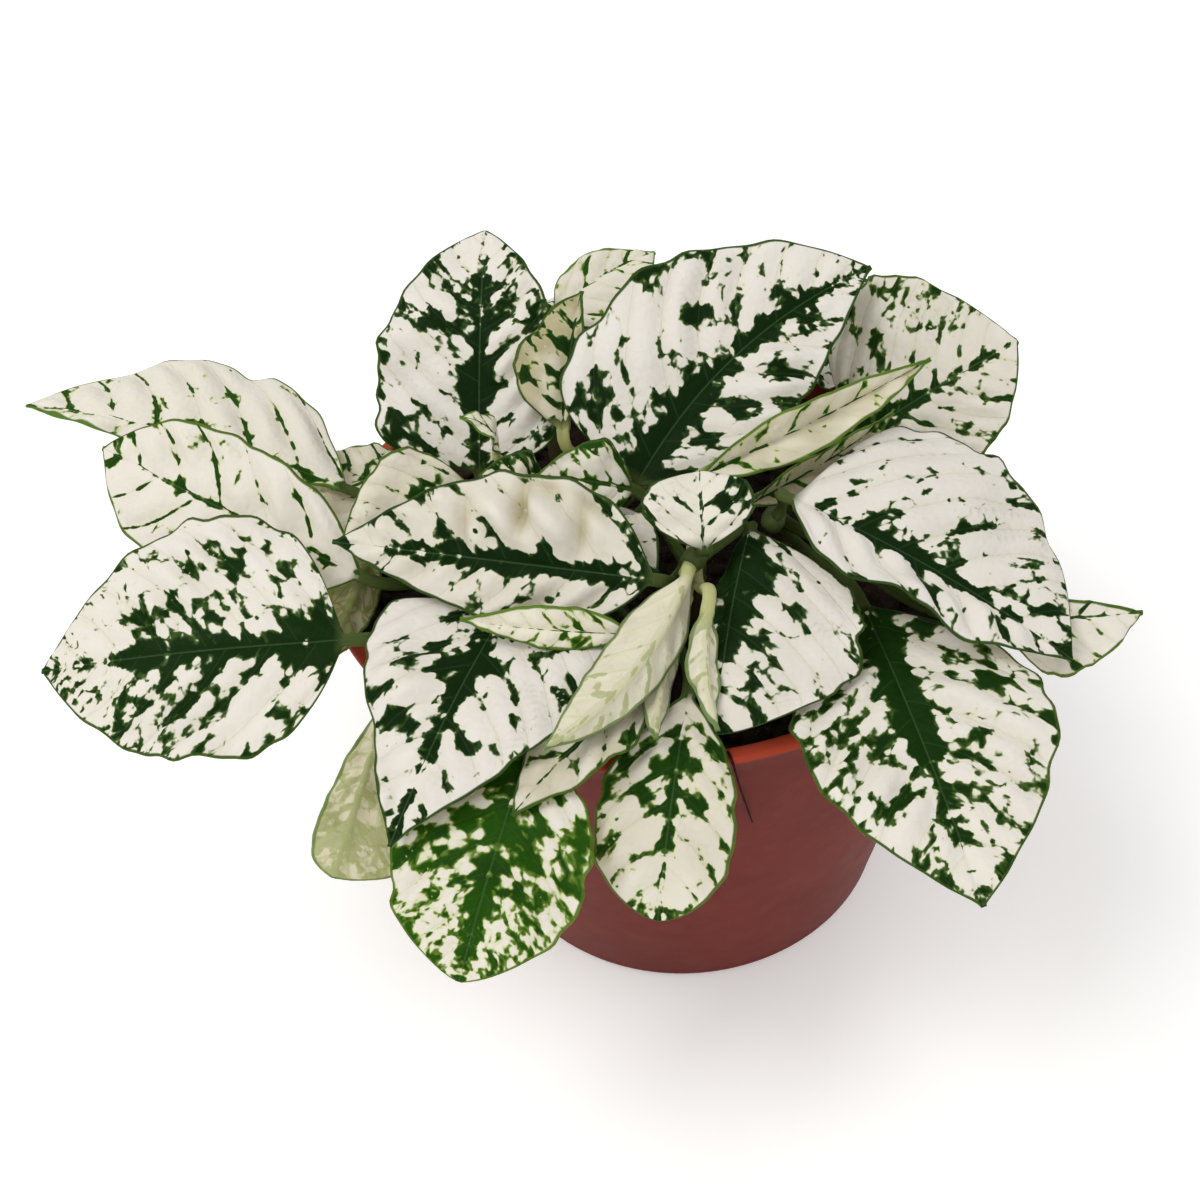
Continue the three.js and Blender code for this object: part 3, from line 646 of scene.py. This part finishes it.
class Blade:
    """The grid of a leaf's blade: u from base to tip, and q from the midrib to either margin."""

    def __init__(self, leaf, look, chance):
        half = eased(steps(max(leaf["half"]), *COLUMN_STEPS) + 1)
        self.columns = np.concatenate([-half[:0:-1], half])
        self.right = self.columns[None, :] > 0
        self.length = float(np.linalg.norm(np.subtract(leaf["tip"], leaf["base"])))
        self.share = eased(steps(self.length, *RING_STEPS))
        self.outline = np.ones_like(self.share)
        for depth, waves in OUTLINE_WAVES:
            self.outline += depth * np.sin(2 * math.pi * (waves * self.share + chance.random()))
        self.widths = [half_width(leaf, self.share, side) * self.outline for side in leaf["half"]]
        self.width = np.where(self.right, self.widths[1][:, None], self.widths[0][:, None])
        self.u = self.share[:, None]
        self.q = np.abs(self.columns)[None, :]
        self.relief = min(1.0, max(leaf["half"]) / FULL_RELIEF_WIDTH)
        self.aside = self.width * self.q
        self.across = self.aside * np.sign(self.columns)

        # Side veins rise towards the tip as they run out. Between is 0 on a vein and 1 half way to the
        # next, and body fades the relief out at the midrib, the margin and both ends.
        rise = self.width / self.length * (0.5 * self.q + 0.45 * self.q ** 2)
        self.spacing = self.length / look["veins"]
        self.level = (self.u - FLAT_LEAN * rise) * self.length
        shift = np.where(self.right, 0.0, LEFT_VEIN_SHIFT)
        self.phase = (self.u - rise) * self.length / self.spacing + shift
        self.between = 0.5 - 0.5 * np.cos(2 * math.pi * self.phase)
        inner = smoothstep(self.q, 0.02, 0.3) * (1 - smoothstep(self.q, 0.75, 1.0))
        self.body = inner * np.sin(math.pi * self.u) ** 0.6

    def bell(self, where, sideways, along, across):
        """A round hill, 1 at its middle, which is given in shares along and across the blade."""
        width = self.widths[1 if sideways > 0 else 0][np.argmin(np.abs(self.share - where))]
        apart = ((self.u - where) * self.length / along) ** 2
        return np.exp(-apart - ((self.across - width * sideways) / across) ** 2)

    def folded(self, leaf):
        """How far across and out the points of the plain blade lie, with its fold, curl and waves."""
        across = np.zeros((len(self.share), len(self.columns)))
        out = np.zeros_like(across)
        reach = self.q[0]
        curl = np.sin(math.pi * self.share)
        middle = len(self.columns) // 2
        for side, way in ((0, -1), (1, 1)):
            for step in range(1, middle + 1):
                column = middle + way * step
                last = column - way
                there = (reach[column] + reach[last]) / 2
                outer = max(0, (there - CURL_FROM) / (1 - CURL_FROM))
                lift = leaf["fold"] + leaf["cup"] * there + leaf["curl"][side] * curl * outer
                turn = np.radians(lift)
                span = (reach[column] - reach[last]) * self.widths[side]
                across[:, column] = across[:, last] + span * np.cos(turn)
                out[:, column] = out[:, last] + span * np.sin(turn)
        ripple = np.sin(2 * math.pi * leaf["waves"] * self.u + leaf["phase"] + SIDE_PHASE * self.right)
        out += leaf["wave"] * self.q ** 2 * ripple * np.sin(math.pi * self.u)
        return across * np.sign(self.columns), out

    def dressed(self, look, chance):
        """How far the fine relief stands out at each point, and how much painted shade it gets in a
        crease.
        """
        u, q = self.u, self.q
        arched = np.sin(math.pi * u)
        uneven = 1 + 0.6 * np.sin(2 * math.pi * (1.9 * u + chance.random()) + 5 * self.columns)
        out = PUCKER_HEIGHT * self.spacing * look["pucker"] * (self.between - 0.35) * self.body * uneven
        frill, swell = np.zeros_like(out), np.zeros_like(out)
        for high, waves, shift in FRILLS:
            frill += high * np.sin(2 * math.pi * (waves * u + chance.random() + shift * self.right))
        for high, waves, slant in SWELLS:
            swell += high * np.sin(2 * math.pi * (waves * u + chance.random()) + slant * self.columns)
        out += frill * look["frill"] * self.relief * q ** 5 * arched ** 0.5
        out += swell * self.relief * smoothstep(q, 0, 0.5) * arched
        # Painted shade, in tan, in the valleys between side veins and in sunken lumps
        crease_shade = CREASE_SHADE * look["pucker"] * (1 - self.between) ** 4 * self.body
        for where, sideways, along, across, high in look["lumps"]:
            hill = self.bell(where, sideways, along, across)
            out += high * hill
            crease_shade += max(0, -high) * 0.4 * hill
        return out, crease_shade

    def surfaces(self, centre):
        """The points of the top and under side, around the middle of the blade's thickness."""
        u, q = self.u, self.q
        normal = unit(np.cross(np.gradient(centre, axis=1), np.gradient(centre, axis=0)))
        thin = (MARGIN_THICKNESS + (BLADE_THICKNESS - MARGIN_THICKNESS) * (1 - q)) * (q < 1)
        veins = VEIN_DEPTH * self.relief * (1 - self.between) ** 6 * self.body
        ridge = RIDGE_DEPTH * (1 - 0.75 * u) * np.exp(-(self.aside / RIDGE_WIDTH) ** 2)
        groove = GROOVE_DEPTH * np.exp(-(self.aside / GROOVE_WIDTH) ** 2) * (1 - 0.5 * u) * (u > 0)
        stalk = 1 - smoothstep(u, 0, min(0.2, 6 / self.length))
        section = np.sqrt(np.maximum(0, 1 - q ** 2)) * stalk
        top = (thin - groove - 0.5 * veins) * (1 - stalk) + section * PETIOLE_CREST
        under = (thin + ridge + veins) * (1 - stalk) + section * PETIOLE_HALF_HEIGHT
        return centre + normal * top[..., None], centre - normal * under[..., None]


def around(upper, lower):
    """Rings that run over the top side from left to right and back along the under side."""
    return np.concatenate([upper, lower[:, -2:0:-1]], axis=1)


def petiole_rings(leaf, blade):
    """The rings of a leaf's stalk, with as many points as those of its blade."""
    spots, ways, sides = petiole_axis(leaf, PETIOLE_RINGS)
    share = np.linspace(0, 1, len(spots))[:, None]
    # Thick where it leaves the stem, then growing a little towards the blade, where its top flattens
    grown = (0.85 + 0.15 * share) * (1 + 0.35 * np.exp(-(share / 0.12) ** 2))
    flat = smoothstep(share, 0.55, 1.0)
    under = PETIOLE_HALF_HEIGHT * grown
    top = under * (1 - flat) + PETIOLE_CREST * flat
    section = np.sqrt(np.maximum(0, 1 - blade.q ** 2))
    half = blade.widths[0][0] / blade.outline[0] * grown
    level = spots[:, None] + sides[:, None] * (blade.columns * half)[..., None]
    up = np.cross(sides, ways)[:, None]
    return around(level + up * (section * top)[..., None], level - up * (section * under)[..., None])


def leaf_maps(look, blade, crease_shade, seed):
    """What the material reads at each point of the blade, three values a map."""
    touched = np.zeros_like(blade.width)
    for where, sideways, radius, amount in look["touches"]:
        touched += amount * blade.bell(where, sideways, radius, radius)
    stalk = np.maximum(0, 1 - np.arange(len(blade.share)) / PETIOLE_FADE_RINGS)[:, None]
    depth = seed * LEAF_APART + blade.across * HALVES_APART
    maps = {
        "leaf_flat": (blade.level, FLAT_STRETCH * blade.aside, depth),
        "leaf_mark": (blade.across, blade.phase, (1 - blade.q) * blade.width),
        "leaf_tint": (look["green"] + touched, look["fresh"], look["cream"]),
        "leaf_part": (stalk, blade.u, look["speck"]),
        "leaf_wide": (look["middle"] * blade.relief, blade.spacing, look["shade"]),
        "leaf_more": (look["lines"], crease_shade, 0),
    }
    stacked = {}
    for key, values in maps.items():
        full = np.stack([np.broadcast_to(value, blade.width.shape) for value in values], -1)
        stacked[key] = around(full, full)
    return stacked


def make_leaves():
    upper, under = leaf_upper(), leaf_under()
    for seed, (name, leaf) in enumerate(LEAVES.items(), FIRST_SEED):
        look = {**PLAIN_LOOK, **LOOKS.get(name, {})}
        chance = random.Random(seed)
        blade = Blade(leaf, look, chance)
        point, _, across, out = (value[:, None] for value in midrib(leaf, blade.share))
        total_across, total_out = blade.folded(leaf)
        relief, crease_shade = blade.dressed(look, chance)
        centre = point + across * total_across[..., None] + out * (total_out + relief)[..., None]
        stalk = petiole_rings(leaf, blade)
        rings = np.concatenate([stalk, around(*blade.surfaces(centre))])
        points, faces = lofted(rings)
        count = rings.shape[1]
        on_under = (np.arange(count) >= len(blade.columns) - 1).astype(int)
        indices = np.tile(on_under, len(rings) - 1).tolist() + [0, 0] * count
        attributes = {
            key: np.concatenate([*[rows[0]] * len(stalk), *rows, rows[0][:1], rows[-1][:1]])
            for key, rows in leaf_maps(look, blade, crease_shade, seed).items()}
        make_piece(
            f"foliage_{name}", points, faces, [upper, under], "leaf", f"leaf_{name}", indices,
            attributes)


# Leaf materials. Scales are for a map in millimetres.


def leaf_pattern(finish, blur):
    """The sockets that both sides of a leaf read. Green is 0 in the white and 1 in the green."""
    flat = finish.attribute("leaf_flat")
    across, phase, to_margin = split(finish.attribute("leaf_mark"))
    touched, fresh, cream = split(finish.attribute("leaf_tint"))
    stalk, along, speck = split(finish.attribute("leaf_part"))
    middle_width, spacing, shade = split(finish.attribute("leaf_wide"))
    lines, crease_shade, _ = split(finish.attribute("leaf_more"))

    # Noise and cells that break up the green
    wavy = warped(flat, scale=0.3, amount=1.8)
    jagged = warped(wavy, scale=1.3, amount=0.32)
    broad = clouds(wavy, 0.1, 1.0)
    patches = clouds(wavy, 0.23, 2.0, 0.45)
    lobes = cells(jagged, 0.5)["Distance"]
    fine = clouds(jagged, 0.95, 1.0)
    dots = cells(flat, 0.33)
    drawn = new_node("SeparateColor", {0: dots["Color"]}).outputs[0]
    dot = times(fall(dots["Distance"], 0.07, 0.2), calc("GREATER_THAN", drawn, 0.6))

    # The midrib's dark zone, narrower towards the tip, the side veins, and the rim
    aside = calc("ABSOLUTE", across)
    near_vein = calc("PINGPONG", phase, 0.5)
    from_vein = times(near_vein, spacing)
    uneven_width = times(middle_width, scaled(broad, 1.6, 0.25))
    uneven_width = times(uneven_width, scaled(along, -0.95, 1.3))
    towards_tip = band(along, 0.45, 0.95)
    middle = fall(calc("DIVIDE", aside, uneven_width), 0.4, 1.5)
    middle = times(middle, scaled(towards_tip, -0.25, 1.0))
    vein = times(scaled(fall(near_vein, 0.03, 0.22), 0.5), scaled(fall(aside, 3.0, 14.0), 0.75, 0.25))
    vein_line = times(fall(from_vein, 0.1, 0.7), band(patches, 0.38, 0.56))
    vein_line = times(vein_line, lines)
    rim = fall(to_margin, 0.3, 3.2)

    # Level is above 0 where the leaf is green. Its tip has finer speckles.
    level = total(
        scaled(middle, 0.75), vein_line, vein, scaled(rim, 0.16), scaled(broad, 0.9, -0.45),
        scaled(patches, 2.6, -1.3), scaled(lobes, 1.15, -0.52), scaled(fine, 0.85, -0.425),
        scaled(dot, 0.45), touched)
    speckles = total(
        scaled(fine, 2.0, -1.0), scaled(patches, 1.2, -0.6), scaled(lobes, 0.6, -0.27),
        scaled(rim, 0.2), scaled(middle, 0.55), vein_line, touched)
    level = calc("SUBTRACT", lerp(times(towards_tip, speck), level, speckles), 0.4)
    margin = fall(to_margin, 0.38, 0.66)
    green = calc("MAXIMUM", band(level, -blur, blur), margin)
    return SimpleNamespace(
        flat=flat, aside=aside, from_vein=from_vein, fresh=fresh, cream=cream, stalk=stalk, shade=shade,
        crease_shade=crease_shade, level=level, green=green, margin=margin, young=band(cream, 0.6, 0.85))


def leaf_upper():
    finish = Finish("leaf_upper")
    leaf = leaf_pattern(finish, 0.08)
    soft = clouds(leaf.flat, 0.22)
    white = mix(leaf.cream, tone(226, 221, 215), tone(225, 219, 198))
    white = mix(scaled(soft, 0.5, -0.15), white, tone(214, 206, 190))
    # Painted shade: tan patches that dull the white
    shaded = times(leaf.shade, band(clouds(leaf.flat, 0.16, 1.0), 0.25, 0.6))
    white = mix(shaded, white, tone(168, 158, 118))
    # Painted shade in the creases
    white = mix(scaled(leaf.crease_shade, 0.6), white, tone(176, 166, 124))
    dark = mix(leaf.fresh, tone(5, 19, 6), tone(36, 80, 4))
    green = mix(scaled(band(soft, 0.4, 0.7), 0.4), dark, tone(12, 38, 6))
    fringe = mix(leaf.fresh, tone(52, 82, 40), tone(112, 142, 50))
    border = times(fall(leaf.level, 0.0, 0.32), scaled(leaf.fresh, 0.2, 0.7))
    green = mix(border, green, fringe)
    edge = mix(leaf.fresh, tone(34, 58, 26), tone(84, 116, 40))
    green = mix(scaled(leaf.margin, 0.6), green, edge)

    # Fine threads along the midrib and the side veins
    rib = fall(leaf.aside, 0.05, 0.2)
    thread = fall(leaf.from_vein, 0.05, 0.3)
    green = mix(scaled(rib, 0.35), green, tone(74, 104, 64))
    green = mix(scaled(thread, 0.1), green, tone(80, 108, 66))
    white = mix(scaled(thread, 0.14), white, tone(190, 192, 150))
    halo = times(band(leaf.level, -0.3, 0.0), scaled(leaf.fresh, 0.5, 0.12))
    white = mix(halo, white, tone(196, 204, 140))
    colour = mix(leaf.green, white, green)
    petiole = mix(clouds(leaf.flat, 1.0), tone(78, 96, 44), tone(56, 64, 34))
    petiole = mix(leaf.young, petiole, tone(176, 178, 118))
    colour = mix(leaf.stalk, colour, petiole)

    net = cells(leaf.flat, 0.55, "DISTANCE_TO_EDGE", "2D")["Distance"]
    grain = scaled(clouds(leaf.flat, 2.4, 3.0, 0.6), 0.5)
    height = total(scaled(band(net, 0.0, 0.35), 0.45), grain, scaled(thread, -0.5))
    return finish.shade(
        Base_Color=colour, Roughness=scaled(clouds(leaf.flat, 1.7), 0.22, 0.42),
        Normal=bump(height, 0.00015, 0.7),
        Specular_IOR_Level=scaled(leaf.green, -0.16, 0.22), Subsurface_Weight=0.16,
        Subsurface_Radius=(1.0, 1.0, 0.55), Subsurface_Scale=0.0011)


def leaf_under():
    finish = Finish("leaf_under")
    leaf = leaf_pattern(finish, 0.12)
    pale = mix(clouds(leaf.flat, 0.3), tone(226, 221, 204), tone(214, 208, 180))
    # Painted shade dulls the pale side towards tan
    pale = mix(scaled(leaf.shade, 0.6), pale, tone(170, 162, 122))
    green = mix(leaf.fresh, tone(84, 108, 70), tone(142, 154, 62))
    colour = mix(scaled(leaf.green, 0.55), pale, green)

    # The net of fine veins, the side veins and the midrib
    place = warped(leaf.flat, scale=0.6, amount=1.2)
    net = fall(cells(place, 0.36, "DISTANCE_TO_EDGE")["Distance"], 0.01, 0.12)
    lines = times(net, scaled(leaf.shade, 0.7, 0.04))
    lines = calc("MAXIMUM", lines, scaled(fall(leaf.from_vein, 0.1, 0.5), 0.16))
    lines = calc("MAXIMUM", lines, scaled(fall(leaf.aside, 0.3, 0.95), 0.24))
    colour = mix(lines, colour, tone(138, 150, 58))
    colour = mix(scaled(leaf.margin, 0.8), colour, tone(78, 110, 50))
    petiole = mix(leaf.young, tone(86, 102, 48), tone(184, 186, 128))
    colour = mix(leaf.stalk, colour, petiole)
    height = total(scaled(lines, 0.9), clouds(leaf.flat, 2.2))
    return finish.shade(
        Base_Color=colour, Roughness=scaled(clouds(leaf.flat, 1.2), 0.2, 0.5),
        Normal=bump(height, 0.00018, 0.5), Specular_IOR_Level=0.25, Subsurface_Weight=0.2,
        Subsurface_Radius=(1.0, 1.0, 0.5), Subsurface_Scale=0.0011)


# Stems

STEM_SIDES = 20
STEM_RINGS = 54
SUNK_RINGS = 14
NODE_SWELL = 0.42
NODE_REACH = 0.035
HIGHEST_NODE = 0.97
# Rings of the rounded tip: how far past the end each lies, and its share of the radius
TIP_RINGS = ((0.6, 0.86), (1.1, 0.5), (1.3, 0.12))
STEM_SQUARENESS = 0.05


def stem_finish():
    finish = Finish("stem_skin")
    place = finish.place()
    streaks = new_node("Mapping", {"Vector": place, "Scale": (900, 900, 160)}).outputs[0]
    blotch = clouds(place, 260)
    fine = clouds(streaks, 1.0, 3.0, 0.6)
    greener = band(split(place)[2], 0.078, 0.098)
    wood = mix(blotch, tone(74, 56, 40), tone(98, 84, 54))
    young = mix(blotch, tone(66, 84, 34), tone(92, 108, 50))
    colour = mix(greener, wood, young)
    colour = mix(scaled(fine, 0.5, -0.1), colour, tone(70, 66, 40))
    return finish.shade(
        Base_Color=colour, Roughness=scaled(fine, 0.25, 0.42),
        Normal=bump(fine, 0.0002, 0.6), Specular_IOR_Level=0.35, Subsurface_Weight=0.08,
        Subsurface_Radius=(1.0, 0.9, 0.4), Subsurface_Scale=0.001)


def make_stems():
    skin = stem_finish()
    for name, stem in STEMS.items():
        share = np.linspace(0, 1, STEM_RINGS)
        point, along, radius = stem_axis(stem, share)
        for node in sorted({leaf["at"] for leaf in LEAVES.values() if leaf["stem"] == name}):
            apart = (share - min(node, HIGHEST_NODE)) / NODE_REACH
            radius = radius + NODE_SWELL * np.exp(-apart ** 2)
        low = np.linspace(STEM_START, STEM_BEND_HEIGHT, SUNK_RINGS)[:-1]
        past, narrower = np.array(TIP_RINGS).T
        point = np.concatenate([
            [(*stem["foot"], height) for height in low], point, point[-1] + along[-1] * past[:, None]])
        radius = np.concatenate([np.full(len(low), STEM_FOOT_RADIUS), radius, radius[-1] * narrower])
        along = np.concatenate([
            np.tile((0.0, 0.0, 1.0), (len(low), 1)), along, np.tile(along[-1], (len(past), 1))])
        side = unit(np.array((1.0, 0, 0)) - along * along[:, :1])
        points, faces = lofted(tube(point, along, side, radius, STEM_SIDES, STEM_SQUARENESS))
        make_piece(f"stalk_{name}", points, faces, [skin], "stem", f"stem_{name}")


# Pot

POT_SIDES = 192
DRAIN_SIDES = 40
WALL_RINGS = 30
INNER_RINGS = 24
FLOOR_RINGS = (0.0, 8.0, 16.0, 24.0, 32.0)


def pot_outer(height):
    return POT_FOOT_RADIUS + (WALL_TOP_RADIUS - POT_FOOT_RADIUS) * height / WALL_TOP


def pot_inner(height):
    return pot_outer(height) - POT_WALL


def arc(radius, height, size, start, end, count):
    """Points of radius and height on an arc around a middle, between two angles in degrees."""
    turns = np.radians(np.linspace(start, end, count))
    return [(radius + size * math.cos(turn), height + size * math.sin(turn)) for turn in turns]


def pot_profile():
    """Radius and height from the middle of the foot, up the outside, over the lip, and down inside."""
    lip = LIP_DEPTH / 2 - 0.05
    inner_edge = POT_RIM_RADIUS - LIP_WIDTH + LIP_ROUND
    return [
        *[(r, 0.0) for r in FLOOR_RINGS],
        *arc(pot_outer(FOOT_ROUND) - FOOT_ROUND, FOOT_ROUND, FOOT_ROUND, -90, 0, 9),
        *[(pot_outer(h), h) for h in np.linspace(4, WALL_TOP - 0.6, WALL_RINGS)],
        (WALL_TOP_RADIUS + 0.1, WALL_TOP - 0.15),
        *arc(POT_RIM_RADIUS - lip, POT_HEIGHT - lip, lip, -70, 90, 11),
        *arc(inner_edge, POT_HEIGHT - LIP_ROUND, LIP_ROUND, 90, 180, 6),
        *[(pot_inner(h), h) for h in np.linspace(WALL_TOP - 0.8, POT_FLOOR + FOOT_ROUND, INNER_RINGS)],
        (pot_inner(POT_FLOOR) - FOOT_ROUND * 0.3, POT_FLOOR + 0.7),
        (pot_inner(POT_FLOOR) - FOOT_ROUND / 2, POT_FLOOR),
        *[(r, POT_FLOOR) for r in FLOOR_RINGS[::-1]],
    ]


def pot_finish():
    finish = Finish("pot_plastic")
    place = finish.place()
    mottle = clouds(place, 55, 3.0, 0.6)
    grain = clouds(place, 900)
    colour = mix(band(mottle, 0.3, 0.7), tone(98, 33, 25), tone(108, 38, 30))

    # Thin dust, a few dark spots, and a painted highlight along the edge of the lip
    dusty = clouds(place, 140, 4.0, 0.65)
    colour = mix(times(band(dusty, 0.52, 0.72), 0.22), colour, tone(128, 70, 56))
    spots = cells(place, 210)
    rare = calc("GREATER_THAN", clouds(spots["Position"], 77), 0.66)
    dot = times(fall(spots["Distance"], 0.06, 0.16), scaled(rare, 0.6))
    colour = mix(dot, colour, tone(70, 32, 26))
    # Painted highlight: a lighter band along the edge of the lip
    lip_highlight = band(split(place)[2], 0.0838, 0.0844)
    colour = mix(scaled(lip_highlight, 0.75), colour, tone(176, 70, 46))
    height = total(scaled(grain, 0.5), scaled(mottle, 0.6))
    return finish.shade(
        Base_Color=colour, Roughness=scaled(dusty, 0.25, 0.38),
        Normal=bump(height, 0.0001, 0.5), Specular_IOR_Level=0.08, Subsurface_Weight=0.05,
        Subsurface_Radius=(1.0, 0.35, 0.25), Subsurface_Scale=0.0015)


def make_pot():
    points, faces = turned_body(pot_profile(), POT_SIDES)
    pot = make_piece("nursery_pot", points, faces, [pot_finish()], "pot", "pot")
    drill = [(0, -3.0), (DRAIN_RADIUS, -3.0), (DRAIN_RADIUS, 5.0), (0, 5.0)]
    spots, sides = turned_body(drill, DRAIN_SIDES)
    cutters = []
    for i in range(DRAIN_HOLES):
        angle = (i + 0.5) / DRAIN_HOLES * 2 * math.pi
        place = np.array((DRAIN_RING * math.cos(angle), DRAIN_RING * math.sin(angle), 0))
        cutter = make_piece(f"cutter_{i}", spots + place, sides, [], None, None, smooth=False)
        cutters.append(cutter)
        cut = pot.modifiers.new(f"hole_{i}", "BOOLEAN")
        cut.operation = "DIFFERENCE"
        cut.object = cutter
        cut.solver = "EXACT"
    graph = bpy.context.evaluated_depsgraph_get()
    cut_mesh = bpy.data.meshes.new_from_object(pot.evaluated_get(graph))
    pot.modifiers.clear()
    whole_mesh = pot.data
    pot.data = cut_mesh
    bpy.data.meshes.remove(whole_mesh)
    for cutter in cutters:
        bpy.data.objects.remove(cutter)


# Soil, with loose crumbs on it

SOIL_SIDES = 200
SOIL_TOP_RINGS = 76
SOIL_WALL_RINGS = 14
SOIL_FLOOR_RING = 20.0
CRUMBS = 520
CRUMB_SEED = 12
CRUMB_MARGIN = 2.5
CRUMB_ROWS = 7
CRUMB_SIDES = 10
LEAST_CRUMB = 0.45
CRUMB_SPREAD = 1.25


def soil_height(x, y, edge):
    share = min(1.0, math.hypot(x, y) / (edge - 1))
    broad = math.sin(0.31 * x + 1.7) * math.cos(0.27 * y - 0.6)
    fine = 0.6 * math.sin(0.7 * x - 0.6 * y)
    return SOIL_EDGE_HEIGHT + SOIL_CROWN * (1 - share * share) + SOIL_RELIEF * (broad + fine)


def soil_finish():
    finish = Finish("soil_peat")
    place = finish.place()
    clumps = clouds(place, 220, 4.0, 0.65)
    grains = clouds(place, 1300, 3.0, 0.6)
    fibres = cells(warped(place, 400, 0.001), 900)["Distance"]
    colour = mix(band(clumps, 0.3, 0.7), tone(18, 12, 9), tone(42, 30, 21))
    colour = mix(band(grains, 0.58, 0.75), colour, tone(84, 64, 46))
    colour = mix(scaled(band(fibres, 0.1, 0.4), -0.5, 0.5), colour, tone(14, 10, 8))
    height = total(scaled(clumps, 0.7), grains, scaled(fibres, 0.4))
    return finish.shade(
        Base_Color=colour, Roughness=scaled(grains, 0.15, 0.82),
        Normal=bump(height, 0.0006, 0.8), Specular_IOR_Level=0.2)


def soil_body(edge):
    """Points and faces of the soil, with a rough top that is smooth where it meets the pot."""
    low = POT_FLOOR + GAP
    wall = np.linspace(POT_FLOOR + FOOT_ROUND + GAP, SOIL_EDGE_HEIGHT - 1, SOIL_WALL_RINGS)
    profile = [
        (0.0, low), (SOIL_FLOOR_RING, low), (pot_inner(POT_FLOOR) - FOOT_ROUND / 2 - 2 * GAP, low),
        *[(pot_inner(h) - GAP, h) for h in wall]]
    profile += [((edge - 0.1) * share, SOIL_EDGE_HEIGHT) for share in eased(SOIL_TOP_RINGS, 0.2)[::-1]]
    points, faces = turned_body(profile, SOIL_SIDES)
    for i in np.flatnonzero(points[:, 2] == SOIL_EDGE_HEIGHT):
        x, y, _ = points[i]
        spot = Vector((x, y, 3.7))
        rough = noise.fractal(spot * 0.35, 0.9, 2.2, 4) * 0.9 + noise.noise(spot * 1.1) * 0.45
        rim = 1 - smoothstep(math.hypot(x, y), edge - 3, edge)
        points[i, 2] = soil_height(x, y, edge) + rough * rim
    return points.tolist(), faces


def make_soil():
    edge = pot_inner(SOIL_EDGE_HEIGHT) - GAP
    points, faces = soil_body(edge)
    tilts = [math.pi * row / CRUMB_ROWS - math.pi / 2 for row in range(1, CRUMB_ROWS)]
    half_circle = [(0, -1), *[(math.cos(tilt), math.sin(tilt)) for tilt in tilts], (0, 1)]
    ball_points, ball_faces = turned_body(half_circle, CRUMB_SIDES)
    ball_points = [Vector(spot) for spot in ball_points]
    chance = random.Random(CRUMB_SEED)
    for _ in range(CRUMBS):
        radius = (edge - CRUMB_MARGIN) * math.sqrt(chance.random())
        angle = 2 * math.pi * chance.random()
        x, y = radius * math.cos(angle), radius * math.sin(angle)
        size = LEAST_CRUMB + CRUMB_SPREAD * chance.random() ** 2.2
        if any(math.dist((x, y), stem["foot"]) < STEM_FOOT_RADIUS + size for stem in STEMS.values()):
            continue
        middle = Vector((x, y, soil_height(x, y, edge) + size * 0.35))
        squash = (1 + 0.5 * chance.random(), 0.8 + 0.4 * chance.random(), 0.6 + 0.4 * chance.random())
        squash = Vector(squash)
        turn = Matrix.Rotation(chance.random() * 6.3, 3, (chance.random(), chance.random(), 1))
        start = len(points)
        for spot in ball_points:
            bulge = 1 + 0.35 * noise.noise(spot * 1.6 + middle)
            grown = Vector(a * b for a, b in zip(spot, squash)) * size * bulge
            points.append(tuple(middle + turn @ grown))
        faces += [tuple(start + i for i in face) for face in ball_faces]
    make_piece("potting_soil", points, faces, [soil_finish()], "soil", "soil")


# The rootlet: points that it passes near, from in the soil over the lip and down outside the pot

ROOTLET = [
    (2.6, -52, 75.5), (3.1, -55.4, 78.5), (3.4, -57, 83), (3.6, -58.2, 85.3), (3.9, -60.2, 85.1),
    (4.3, -60.2, 82.5), (5.0, -58.9, 77.5), (6.0, -57.2, 71.5), (7.1, -55.6, 65)]
ROOTLET_RADIUS = 0.24
ROOTLET_TAPER = 0.35
ROOTLET_RINGS = 46
ROOTLET_SIDES = 8


def make_rootlet():
    """A dry root that has grown out of the soil and hangs over the pot's lip."""
    knots = np.array(ROOTLET, float)
    place = np.linspace(0, len(knots) - 1, ROOTLET_RINGS)
    path = np.stack([np.interp(place, np.arange(len(knots)), knots[:, i]) for i in range(3)], -1)
    for _ in range(3):
        path[1:-1] = (path[:-2] + 2 * path[1:-1] + path[2:]) / 4
    along = unit(np.gradient(path, axis=0))
    sides = unit(np.cross(along, (0.3, 0.9, 0.2)))
    ring = np.arange(ROOTLET_RINGS)
    radii = ROOTLET_RADIUS * (1 + 0.2 * np.sin(ring * 1.7)) * (1 - ROOTLET_TAPER * ring / ROOTLET_RINGS)
    points, faces = lofted(tube(path, along, sides, radii, ROOTLET_SIDES))
    finish = Finish("root_skin")
    colour = mix(clouds(finish.place(), 500), tone(28, 12, 10), tone(52, 26, 20))
    skin = finish.shade(Base_Color=colour, Roughness=0.9, Specular_IOR_Level=0.1)
    make_piece("rootlet", points, faces, [skin], "stem", None)


# Floor, just below the foot

FLOOR_REACH = 2500
FLOOR_HEIGHT = -0.15


def make_floor():
    finish = Finish("floor_paper")
    colour = mix(clouds(finish.place(), 3.0), tone(247, 247, 246), tone(250, 250, 249))
    paper = finish.shade(
        Base_Color=colour, Roughness=0.8, Specular_IOR_Level=0.1, Emission_Color=(1, 1, 1, 1),
        Emission_Strength=0.26)
    corners = [(-1, -1), (1, -1), (1, 1), (-1, 1)]
    points = [(x * FLOOR_REACH, y * FLOOR_REACH, FLOOR_HEIGHT) for x, y in corners]
    floor = make_piece("floor", points, [(0, 1, 2, 3)], [paper], None, None)


make_camera()
make_light()
make_floor()
make_pot()
make_soil()
make_stems()
make_leaves()
make_rootlet()
